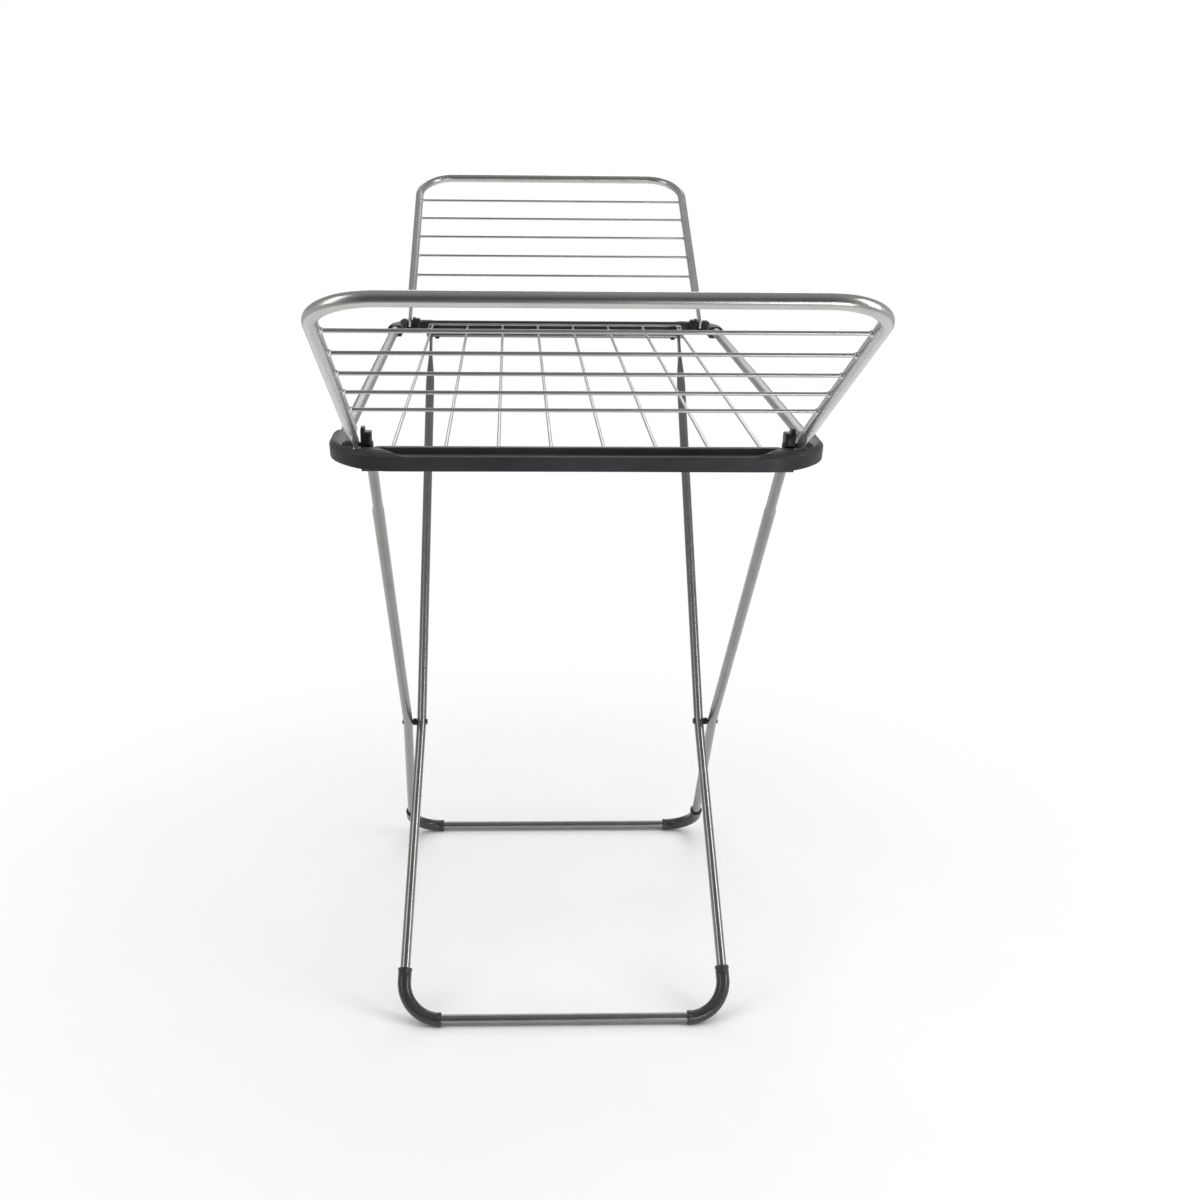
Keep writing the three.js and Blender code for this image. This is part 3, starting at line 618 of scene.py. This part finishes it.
for side_name, _ in SIDES:
    for end_name, _ in ENDS:
        node_name = f"wing_pivot_pin_{end_name}_{side_name}"
        pin = headed_pin(f"wing_pin_{end_name}_{side_name}", node_name, False)
        finish_piece(pin, "table", PIN_METAL, [node_name])
    node_name = f"leg_hinge_pin_{side_name}"
    pin = headed_pin(f"leg_pin_{side_name}", node_name, False)
    finish_piece(pin, "table", PIN_METAL, [node_name])
    node_name = f"crossing_rivet_{side_name}"
    rivet = headed_pin(f"leg_rivet_{side_name}", node_name, True)
    finish_piece(rivet, "outer_leg", PIN_METAL, [node_name])
    node_name = f"crossing_spacer_{side_name}"
    low_corner, high_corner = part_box(node_name)
    width = high_corner.x - low_corner.x
    radius = (high_corner.z - low_corner.z) / 2
    edge, groove, depth = SPACER["edge"], SPACER["groove"], SPACER["depth"]
    ring_profile = [(0, PIN_BORE_R), (0, radius - edge), (edge, radius)]
    ring_profile += [(width / 2 - groove, radius), (width / 2, radius - depth)]
    ring_profile += [(width / 2 + groove, radius), (width - edge, radius)]
    ring_profile += [(width, radius - edge), (width, PIN_BORE_R), (0, PIN_BORE_R)]
    start_point = (low_corner.x, CROSSING[1], CROSSING[2])
    ring = lathe(f"leg_spacer_{side_name}", ring_profile, start_point, (1, 0, 0), 28)
    finish_piece(ring, "outer_leg", SPACER_PLASTIC, [node_name])

low_corner, high_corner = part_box("inner_leg_crossbar")
bar_r = (high_corner.z - low_corner.z) / 2
bar_z = (high_corner.z + low_corner.z) / 2
bar_y = (high_corner.y + low_corner.y) / 2
bar_path = Path([(low_corner.x, bar_y, bar_z), (high_corner.x, bar_y, bar_z)], [0, 0], (0, 0, 1))
crossbar = rounded_rod("leg_crossbar", bar_path, bar_r, 28, rim=0.0012)
finish_piece(crossbar, "inner_leg", LEG_STEEL, ["inner_leg_crossbar"])

# ---------------------------------------------------------------- table tubes and wires

for side_name, _ in SIDES:
    node_name = f"side_tube_{side_name}"
    low_corner, high_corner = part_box(node_name)
    mid = centre(node_name)
    tube_path = Path([(mid.x, low_corner.y, mid.z), (mid.x, high_corner.y, mid.z)], [0, 0], (0, 0, 1))
    side_tube = rounded_rod(f"table_tube_{side_name}", tube_path, TUBE_R, TUBE_SIDES)
    finish_piece(side_tube, "table", TABLE_STEEL, [node_name])

WIRE_NODES = sorted(n for n in frame["nodes"] if n.startswith("table_wire_"))
for node_name in WIRE_NODES:
    low_corner, high_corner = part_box(node_name)
    mid = centre(node_name)
    wire_path = Path([(mid.x, low_corner.y, mid.z), (mid.x, high_corner.y, mid.z)], [0, 0], (0, 0, 1))
    rod = rounded_rod(node_name.replace("wire", "rod"), wire_path, WIRE_R, WIRE_SIDES)
    finish_piece(rod, "table", WIRE_STEEL, [node_name])

# A cross wire's ends turn down and back under the outermost wires.
HOOK = {"past": 0.002, "drops": 2.1, "bend": 0.0042}
BEAD = {"r": 0.0026, "half": 0.0021}

for end_name, _ in ENDS:
    node_name = f"table_cross_wire_{end_name}"
    low_corner, high_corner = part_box(node_name)
    mid = centre(node_name)
    last_x = max(centre(n).x for n in WIRE_NODES)
    drop = mid.z - centre(WIRE_NODES[0]).z
    turn_x = high_corner.x + HOOK["past"]
    under_z = mid.z - HOOK["drops"] * drop
    half_row = [(turn_x, mid.y, mid.z), (turn_x, mid.y, under_z), (last_x, mid.y, under_z)]
    row = [(-x, y, z) for x, y, z in reversed(half_row)] + half_row
    cross_path = Path(row, [0, *[HOOK["bend"]] * 4, 0], (0, 1, 0))
    cross = rounded_rod(f"table_cross_rod_{end_name}", cross_path, WIRE_R, WIRE_SIDES)
    finish_piece(cross, "table", WIRE_STEEL, [node_name])
    beads = []
    for wire_node in WIRE_NODES:
        spot = np.array((centre(wire_node).x, mid.y, (mid.z + centre(wire_node).z) / 2))
        dome = [(BEAD["half"] * (1 - math.cos(a)), BEAD["r"] * math.sin(a)) for a in quarter(4)]
        dome += [(2 * BEAD["half"] - s, r) for s, r in reversed(dome[:-1])]
        start_point = spot - np.array((BEAD["half"], 0, 0))
        beads.append(lathe(f"bead_{wire_node}", dome, start_point, (1, 0, 0), 14))
    finish_piece(joined(f"table_welds_{end_name}", beads), "table", WELD_STEEL)

# ---------------------------------------------------------------- end caps

# Sections as (share of the band's width, drop below the top in mm, corner radius in mm).
BAR_SECTION = [
    (0.0, 16.0, 1.0), (0.0, 0.0, 1.4), (0.27, 0.0, 1.4), (0.31, 7.5, 0.8),
    (0.81, 7.8, 1.6), (0.87, 5.0, 1.2), (1.0, 6.0, 1.2), (1.0, 22.5, 1.6),
]
CORNER_SECTION = [
    (0.0, 17.0, 1.0), (0.0, 2.6, 2.6), (0.22, 0.2, 3.4), (0.42, 0.0, 3.0),
    (0.60, 0.6, 3.0), (0.80, 2.4, 3.0), (1.0, 6.0, 1.6), (1.0, 22.5, 2.0),
]
ARM_SECTION = [
    (0.05, 19.5, 2.4), (0.0, 3.6, 3.6), (0.20, 0.4, 3.6), (0.40, 0.0, 3.0),
    (0.60, 0.0, 3.0), (0.80, 0.6, 3.6), (1.0, 4.4, 3.6), (0.95, 20.0, 2.4),
]
RECESS_FADE = (0.188, 0.200)  # outer-edge X where the bar's recess runs out
SECTION_STEPS = 5
CAP_STATIONS = {"bar": 12, "fade": 10, "arc": 36, "arm": 6}
MM = 0.001

# Places and sizes in the cap. X and Y are distances from the middle of the table, and Z is the
# height above the floor.
TABLE_TOP = 0.870
PIVOT_Y = abs(JOINTS["near_wing_fold"]["pos_m"][1])
PIVOT_Z = JOINTS["near_wing_fold"]["pos_m"][2]
WING_RUN = centre("far_wing_wire_5") - centre("far_wing_wire_1")
WING_RISE = math.atan2(WING_RUN.z, WING_RUN.y)
CAP_INNER_Y = 0.475
CAP_INNER_X = 0.2565
EAR_BASE = 0.8585
CATCH_ROOT = 0.492
HINGE_BLOCK = {"x0": 0.2215, "x1": 0.2412, "back": 0.452, "bottom": 0.841, "top": 0.8613}
BLOCK_ROOT = {"y": 0.490, "z": 0.851}
LEG_SLOT = {"x0": 0.2247, "x1": 0.2373, "back": 0.44, "floor": 0.83, "roof": 0.8583}
EAR_PLATE = {"x0": 0.237, "x1": 0.2412, "half": 0.009, "top": {"near": 0.890, "far": 0.877}}
EAR_BLOCK = {"x0": 0.230, "x1": 0.2375, "half": 0.010, "top": {"near": 0.885, "far": 0.8755}}
# The room for a wing's arm. Under and over are measured from the pivot, across the arm.
ARM_POCKET = {"x0": 0.2416, "x1": 0.2509, "r": 0.0126, "under": -0.0098, "over": 0.0218}
CATCH = {"x0": 0.197, "x1": 0.204, "back": 0.456, "jaw": 0.461, "bottom": 0.8418, "top": 0.858}
RIBS = {"half": 0.168, "cells": 6, "thickness": 0.0026, "wall": 0.003, "floor": 0.84, "roof": 0.857}
WIRE_BORE_END = 0.484
PIVOT_BORE = (0.228, 0.2625)  # X of its ends
HINGE_BORE = (0.219, 0.244)
SOCKET = {"from": -0.452, "to": -0.372}  # Y of a side tube's socket, at the near end
PIVOT_BOSS = {"x0": 0.251, "x1": 0.259, "r": 0.009, "drop": 0.004}
OVERLAP = 0.001  # how far joined solids reach into each other
CAP_RIM = 0.0022  # rounding of the arms' ends


def filleted(points):
    """A closed outline with its corners rounded, as (u in mm, drop in mm) pairs."""
    outline = []
    count = len(points)
    for i, (x, y, radius) in enumerate(points):
        at = np.array((x, y))
        before = np.array(points[i - 1][:2]) - at
        after = np.array(points[(i + 1) % count][:2]) - at
        reach_before, reach_after = np.linalg.norm(before), np.linalg.norm(after)
        before, after = before / reach_before, after / reach_after
        half = math.acos(np.clip(before @ after, -1, 1)) / 2
        setback = radius / max(math.tan(half), 1e-6)
        setback = min(setback, 0.45 * reach_before, 0.45 * reach_after)
        for k in range(SECTION_STEPS + 1):
            t = k / SECTION_STEPS
            start, stop = at + before * setback, at + after * setback
            outline.append((1 - t) ** 2 * start + 2 * t * (1 - t) * at + t * t * stop)
    return np.array(outline)


def smooth_mix(a, b, t):
    """A section between two others, eased at both ends."""
    t = min(max(t, 0.0), 1.0)
    t = t * t * (3 - 2 * t)
    return [tuple(x + (y - x) * t for x, y in zip(p, q)) for p, q in zip(a, b)]


def cap_band(name, node):
    """The cap's C-shaped band, drawn at the near end, as a closed skin of sections."""
    low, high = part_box(node)
    outer_x = high.x
    outer_y = max(abs(low.y), abs(high.y))
    arm_end = min(abs(low.y), abs(high.y))
    inner_y = outer_y - CAP_BAR_DEPTH
    turn_out = (outer_x - CAP_OUTER_CORNER_R, outer_y - CAP_OUTER_CORNER_R)
    turn_in = (CAP_INNER_X - CAP_INNER_CORNER_R, inner_y - CAP_INNER_CORNER_R)
    rows = []
    fade_from, fade_to = RECESS_FADE
    bar_places = np.linspace(0, fade_from, CAP_STATIONS["bar"], endpoint=False)
    fade_places = np.linspace(fade_from, turn_out[0], CAP_STATIONS["fade"], endpoint=False)
    for x in (*bar_places, *fade_places):
        section = smooth_mix(BAR_SECTION, CORNER_SECTION, (x - fade_from) / (fade_to - fade_from))
        rows.append(((x * turn_in[0] / turn_out[0], inner_y), (x, outer_y), section))
    for angle in np.linspace(0, math.pi / 2, CAP_STATIONS["arc"], endpoint=False):
        share = angle / (math.pi / 2)
        section = smooth_mix(CORNER_SECTION, ARM_SECTION, share)
        inner = [turn_in[k] + CAP_INNER_CORNER_R * (math.sin, math.cos)[k](angle) for k in (0, 1)]
        outer = [turn_out[k] + CAP_OUTER_CORNER_R * (math.sin, math.cos)[k](angle) for k in (0, 1)]
        rows.append((inner, outer, section))
    rim = CAP_RIM
    for y in np.linspace(turn_out[1], arm_end + rim, CAP_STATIONS["arm"]):
        share = (turn_out[1] - y) / (turn_out[1] - arm_end - rim)
        inner_place = turn_in[1] + (arm_end + rim - turn_in[1]) * share
        rows.append(((CAP_INNER_X, inner_place), (outer_x, y), ARM_SECTION))
    outlines = []
    for inner, outer, section in rows:
        inner, outer = np.array(inner), np.array(outer)
        width = np.linalg.norm(outer - inner) / MM
        shape = filleted([(u * width, drop, radius) for u, drop, radius in section])
        across = (outer - inner) / width
        ring = [(*(inner + across * u), TABLE_TOP - drop * MM) for u, drop in shape]
        outlines.append(np.array(ring))
    last = outlines[-1]
    middle = last.mean(axis=0)
    for angle in quarter(4)[1:]:
        inset = rim * (1 - math.cos(angle))
        reach = np.linalg.norm(last - middle, axis=1)[:, None]
        ring = middle + (last - middle) * (1 - inset / reach)
        ring[:, 1] = arm_end + rim - rim * math.sin(angle)
        outlines.append(ring)
    left = [ring * np.array((-1, 1, 1)) for ring in reversed(outlines[1:])]
    rings = left + outlines
    verts = np.concatenate(rings) * np.array((1, -1, 1))
    size = len(rings[0])
    faces = []
    for r in range(len(rings) - 1):
        for k in range(size):
            n = (k + 1) % size
            faces.append((r * size + k, r * size + n, (r + 1) * size + n, (r + 1) * size + k))
    faces.append(list(range(size))[::-1])
    faces.append([(len(rings) - 1) * size + k for k in range(size)])
    return fix_normals(new_piece(name, verts, faces))


def rod_x(name, radius, x0, x1, y, z, sides=32):
    length = abs(x1 - x0)
    profile = [(0, 0), (0, radius), (length, radius), (length, 0)]
    return lathe(name, profile, (min(x0, x1), y, z), (1, 0, 0), sides)


def rod_y(name, radius, y0, y1, x, z, sides=32):
    profile = [(0, 0), (0, radius), (y1 - y0, radius), (y1 - y0, 0)]
    return lathe(name, profile, (x, y0, z), (0, 1, 0), sides)


def pivot_bore(sign):
    x0, x1 = PIVOT_BORE
    return rod_x("bore", PIN_BORE_R, sign * x0, sign * x1, -PIVOT_Y, PIVOT_Z, 24)


def ear(name, size, top, sign):
    """An upright ear with a rounded top, at the near end."""
    outline = [(-CAP_INNER_Y - OVERLAP, EAR_BASE), (-PIVOT_Y + size["half"], EAR_BASE)]
    radius = size["half"] * 0.55
    for y_sign in (1, -1):
        middle_y = -PIVOT_Y + y_sign * (size["half"] - radius)
        angles = quarter(5) if y_sign > 0 else [math.pi / 2 + a for a in quarter(5)]
        for angle in angles:
            rise = radius * (math.sin(angle) - 1)
            outline.append((middle_y + radius * math.cos(angle), top + rise))
    outline.append((-PIVOT_Y - size["half"], TABLE_TOP))
    outline.append((-CAP_INNER_Y - OVERLAP, TABLE_TOP - OVERLAP))
    return plate(name, outline, sign * size["x0"], sign * size["x1"], 0.0005)


def crossbar_catch(sign):
    """The hook under the far cap, open towards the middle of the table."""
    mouth = bar_r + 0.0004
    back, jaw, bottom, top = (CATCH[key] for key in ("back", "jaw", "bottom", "top"))
    y, z = abs(HINGE[1]), HINGE[2]
    outline = [(-CATCH_ROOT, top - 0.005), (-CAP_INNER_Y + 0.004, bottom), (-jaw - 0.0015, bottom)]
    outline += [(-jaw, bottom + 0.001), (-jaw, z - mouth)]
    for k in range(13):
        angle = -math.pi / 2 - math.pi * k / 12
        outline.append((-y + mouth * math.cos(angle), z + mouth * math.sin(angle)))
    outline += [(-back, z + mouth), (-back, top - 0.002), (-back - 0.002, top), (-CATCH_ROOT, top)]
    return plate(f"catch_{sign}", outline, sign * CATCH["x0"], sign * CATCH["x1"], 0.0004)


def cap_additions(holds_hinges):
    """What grows out of the band, as groups of solids that do not touch inside a group."""
    bottom = HINGE_BLOCK["bottom"] if holds_hinges else EAR_BASE - 0.005
    inner = HINGE_BLOCK["x0"] if holds_hinges else EAR_BLOCK["x0"]
    bases, roots = [], []
    for _, sign in SIDES:
        start, stop = sign * inner, sign * HINGE_BLOCK["x1"]
        base_low = (start, -CAP_INNER_Y - OVERLAP, bottom)
        base_high = (stop, -HINGE_BLOCK["back"], HINGE_BLOCK["top"])
        bases.append(block("base", base_low, base_high, 0.0005))
        root_low = (start, -BLOCK_ROOT["y"], BLOCK_ROOT["z"])
        root_high = (stop, -CAP_INNER_Y + OVERLAP, HINGE_BLOCK["top"])
        roots.append(block("root", root_low, root_high, 0))
        x0, x1 = sign * PIVOT_BOSS["x0"], sign * PIVOT_BOSS["x1"]
        bases.append(rod_x("boss", PIVOT_BOSS["r"], x0, x1, -PIVOT_Y, PIVOT_Z - PIVOT_BOSS["drop"]))
        if not holds_hinges:
            bases.append(crossbar_catch(sign))
    return [bases, roots]


def cap_cutters(outer_y, holds_hinges):
    """The holes in a cap, as groups of solids that do not touch inside a group."""
    slope = Matrix.Translation((0, -PIVOT_Y, PIVOT_Z)) @ Matrix.Rotation(-WING_RISE, 4, "X")
    tube = centre("side_tube_right")
    slots, pockets, bores = [], [], []
    for _, sign in SIDES:
        x0, x1 = sign * ARM_POCKET["x0"], sign * ARM_POCKET["x1"]
        slot_low, slot_high = (x0, -0.06, ARM_POCKET["under"]), (x1, 0, ARM_POCKET["over"])
        slots.append(block("slot", slot_low, slot_high, 0, turn=slope))
        tube_x = sign * abs(tube.x)
        slots.append(rod_y("socket", TUBE_R + GAP, SOCKET["from"], SOCKET["to"], tube_x, tube.z, 40))
        pockets.append(rod_x("pocket", ARM_POCKET["r"], x0, x1, -PIVOT_Y, PIVOT_Z))
        bores.append(pivot_bore(sign))
        if holds_hinges:
            fork_low = (sign * LEG_SLOT["x0"], -CAP_INNER_Y, LEG_SLOT["floor"])
            fork_high = (sign * LEG_SLOT["x1"], -LEG_SLOT["back"], LEG_SLOT["roof"])
            slots.append(block("fork", fork_low, fork_high, 0))
            x0, x1 = HINGE_BORE
            bores.append(rod_x("bore", PIN_BORE_R, sign * x0, sign * x1, -abs(HINGE[1]), HINGE[2], 24))
    pitch = 2 * RIBS["half"] / RIBS["cells"]
    web = RIBS["thickness"] / 2
    for i in range(RIBS["cells"]):
        x = -RIBS["half"] + i * pitch
        cell_low = (x + web, -outer_y + RIBS["wall"], RIBS["floor"])
        cell_high = (x + pitch - web, -CAP_INNER_Y - RIBS["wall"], RIBS["roof"])
        slots.append(block("cell", cell_low, cell_high, 0.001))
    for wire_node in WIRE_NODES:
        at = centre(wire_node)
        mouth = -CAP_INNER_Y + 3 * OVERLAP
        pockets.append(rod_y("bore", WIRE_R + GAP, -WIRE_BORE_END, mouth, at.x, at.z, 16))
    return [slots, pockets, bores]


def build_cap(end, node, holds_hinges):
    """One end cap, drawn at the near end and turned about Z if it is the far one."""
    cap = cap_band(f"{end}_cap", node)
    outer_y = max(abs(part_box(node)[0].y), abs(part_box(node)[1].y))
    for group in cap_additions(holds_hinges):
        boolean(cap, [joined("additions", group)], "UNION")
    for group in cap_cutters(outer_y, holds_hinges):
        boolean(cap, [joined("cutters", group)], "DIFFERENCE")
    ears = []
    for _, sign in SIDES:
        plate_ear = ear("plate_ear", EAR_PLATE, EAR_PLATE["top"][end], sign)
        block_ear = ear("block_ear", EAR_BLOCK, EAR_BLOCK["top"][end], sign)
        whole = boolean(plate_ear, [block_ear], "UNION")
        ears.append(boolean(whole, [pivot_bore(sign)], "DIFFERENCE"))
    ear_piece = joined(f"{end}_cap_ears", ears)
    for piece in (cap, ear_piece):
        piece.data.polygons.foreach_set("use_smooth", [True] * len(piece.data.polygons))
        if end == "far":
            piece.data.transform(Matrix.Rotation(math.pi, 4, "Z"))
        sharpen(piece, 32)
    finish_piece(cap, "table", CAP_PLASTIC, [node])
    finish_piece(ear_piece, "table", EAR_PLASTIC, [node])


build_cap("near", "near_end_cap", True)
build_cap("far", "far_end_cap", False)

# ---------------------------------------------------------------- floor, light and camera

FLOOR_R = 2.0
FLOOR_TINTS = ((0.90, 0.90, 0.90), (0.93, 0.93, 0.93))
WHITE_FROM, WHITE_TO = 0.25, 1.2  # distances from the middle, between plain floor and white

# Grey of the room that the gloss mirrors, as (place from 0 to 1, level), by height and by depth.
SKY_HEIGHT = [(0.02, 0.64), (0.47, 0.64), (0.50, 0.50), (0.58, 0.44), (0.75, 0.34), (0.95, 0.34)]
SKY_DEPTH = [(0.01, 0.04), (0.08, 0.14), (0.22, 0.55), (0.6, 0.9)]

CAMERA = {"place": (-0.0753, -2.1217, 1.2454), "yaw": 0.0339, "pitch": 0.3252, "roll": 0.0108}
LENS = {"mm": 45.45, "sensor": 36, "shift_x": 0.0336}


def build_floor():
    """A pale studio floor that turns into the white backdrop away from the object."""
    angles = np.linspace(0, 2 * math.pi, 96, endpoint=False)
    rim = [(FLOOR_R * math.cos(a), FLOOR_R * math.sin(a), 0) for a in angles]
    floor = new_piece("studio_floor", rim, [range(len(rim))], smooth=False)
    made, nodes, links, shader = material("studio_floor")
    grain = noise(nodes, links, 3.0, 4)
    links.new(ramp(nodes, links, grain, 0.3, 0.7, *FLOOR_TINTS), shader.inputs["Base Color"])
    shader.inputs["Roughness"].default_value = 0.85
    shader.inputs["Specular IOR Level"].default_value = 0.1
    where = nodes.new("ShaderNodeTexCoord")
    reach = nodes.new("ShaderNodeVectorMath")
    reach.operation = "LENGTH"
    links.new(where.outputs["Object"], reach.inputs[0])
    fade = nodes.new("ShaderNodeMapRange")
    fade.interpolation_type = "SMOOTHSTEP"
    fade.inputs["From Min"].default_value = WHITE_FROM
    fade.inputs["From Max"].default_value = WHITE_TO
    links.new(reach.outputs["Value"], fade.inputs["Value"])
    glow = nodes.new("ShaderNodeEmission")
    mix = nodes.new("ShaderNodeMixShader")
    links.new(fade.outputs["Result"], mix.inputs["Fac"])
    links.new(shader.outputs["BSDF"], mix.inputs[1])
    links.new(glow.outputs["Emission"], mix.inputs[2])
    links.new(mix.outputs["Shader"], nodes["Material Output"].inputs["Surface"])
    floor.data.materials.append(made)


def area_light(name, place, target, size, watts, mirrored=True):
    """A rectangular light aimed at a point. One that is not mirrored stays out of the gloss."""
    data = bpy.data.lights.new(name, "AREA")
    data.shape = "RECTANGLE"
    data.size, data.size_y = size
    data.energy = watts
    lamp = bpy.data.objects.new(name, data)
    lamp.location = place
    lamp.rotation_mode = "QUATERNION"
    lamp.rotation_quaternion = (Vector(target) - Vector(place)).to_track_quat("-Z", "Y")
    lamp.visible_camera = False
    lamp.visible_glossy = mirrored
    bpy.context.scene.collection.objects.link(lamp)


def sky_ramp(nodes, links, source, stops):
    """Grey levels for a value from 0 to 1, from (place, level) stops."""
    levels = nodes.new("ShaderNodeValToRGB")
    elements = levels.color_ramp.elements
    for position, grey in stops:
        element = elements.new(position)
        element.color = (grey, grey, grey, 1)
    elements.remove(elements[0])
    elements.remove(elements[-1])
    links.new(source, levels.inputs["Fac"])
    return levels.outputs["Color"]


def build_light():
    """A soft studio: a white backdrop for the camera, a grey room with softboxes for the gloss."""
    world = bpy.data.worlds.new("studio")
    bpy.context.scene.world = world
    world.use_nodes = True
    nodes, links = world.node_tree.nodes, world.node_tree.links
    room = nodes["Background"]
    where = nodes.new("ShaderNodeTexCoord")
    centred = nodes.new("ShaderNodeMapping")
    centred.inputs["Scale"].default_value = (0.5, 0.5, 0.5)
    centred.inputs["Location"].default_value = (0.5, 0.5, 0.5)
    links.new(where.outputs["Generated"], centred.inputs["Vector"])
    split = nodes.new("ShaderNodeSeparateXYZ")
    links.new(centred.outputs["Vector"], split.inputs["Vector"])
    height = sky_ramp(nodes, links, split.outputs["Z"], SKY_HEIGHT)
    depth = sky_ramp(nodes, links, split.outputs["Y"], SKY_DEPTH)
    shade = nodes.new("ShaderNodeMix")
    shade.data_type = "RGBA"
    shade.blend_type = "MULTIPLY"
    shade.inputs["Factor"].default_value = 1.0
    links.new(height, shade.inputs[6])
    links.new(depth, shade.inputs[7])
    links.new(shade.outputs[2], room.inputs["Color"])
    white = nodes.new("ShaderNodeBackground")
    seen = nodes.new("ShaderNodeLightPath")
    mix = nodes.new("ShaderNodeMixShader")
    white.inputs["Color"].default_value = (1, 1, 1, 1)
    links.new(seen.outputs["Is Camera Ray"], mix.inputs["Fac"])
    links.new(room.outputs["Background"], mix.inputs[1])
    links.new(white.outputs["Background"], mix.inputs[2])
    links.new(mix.outputs["Shader"], nodes["World Output"].inputs["Surface"])
    area_light("ceiling", (0, 0, 3.2), (0, 0, 0), (4, 4), 70, mirrored=False)
    area_light("softbox_left", (-2.1, -1.2, 1.9), (0, -0.1, 0.4), (0.9, 1.9), 14)
    area_light("softbox_right", (2.3, -1.0, 1.7), (0, -0.1, 0.4), (0.7, 1.9), 26)
    area_light("low_fill", (1.0, -2.5, 0.45), (0.2, -0.5, 0.85), (1.0, 0.5), 14)
    area_light("softbox_back", (0.2, 3.4, 2.6), (0, 0, 0.6), (2.6, 1.4), 30)


def build_camera():
    """The view: from just off the near end, above the wings, looking down along the table."""
    data = bpy.data.cameras.new("camera")
    data.sensor_fit = "HORIZONTAL"
    data.sensor_width = LENS["sensor"]
    data.lens = LENS["mm"]
    data.shift_x = LENS["shift_x"]
    camera = bpy.data.objects.new("camera", data)
    yaw, pitch, roll = CAMERA["yaw"], CAMERA["pitch"], CAMERA["roll"]
    level = Vector((math.sin(yaw), math.cos(yaw), 0))
    forward = level * math.cos(pitch) - Vector((0, 0, math.sin(pitch)))
    right = Vector((math.cos(yaw), -math.sin(yaw), 0))
    up = right.cross(forward)
    turned_right = right * math.cos(roll) + up * math.sin(roll)
    turned_up = up * math.cos(roll) - right * math.sin(roll)
    axes = Matrix((turned_right, turned_up, -forward)).transposed()
    camera.matrix_world = Matrix.Translation(CAMERA["place"]) @ axes.to_4x4()
    bpy.context.scene.collection.objects.link(camera)
    bpy.context.scene.camera = camera


build_floor()
build_light()
build_camera()
bpy.context.scene.view_settings.view_transform = "Standard"
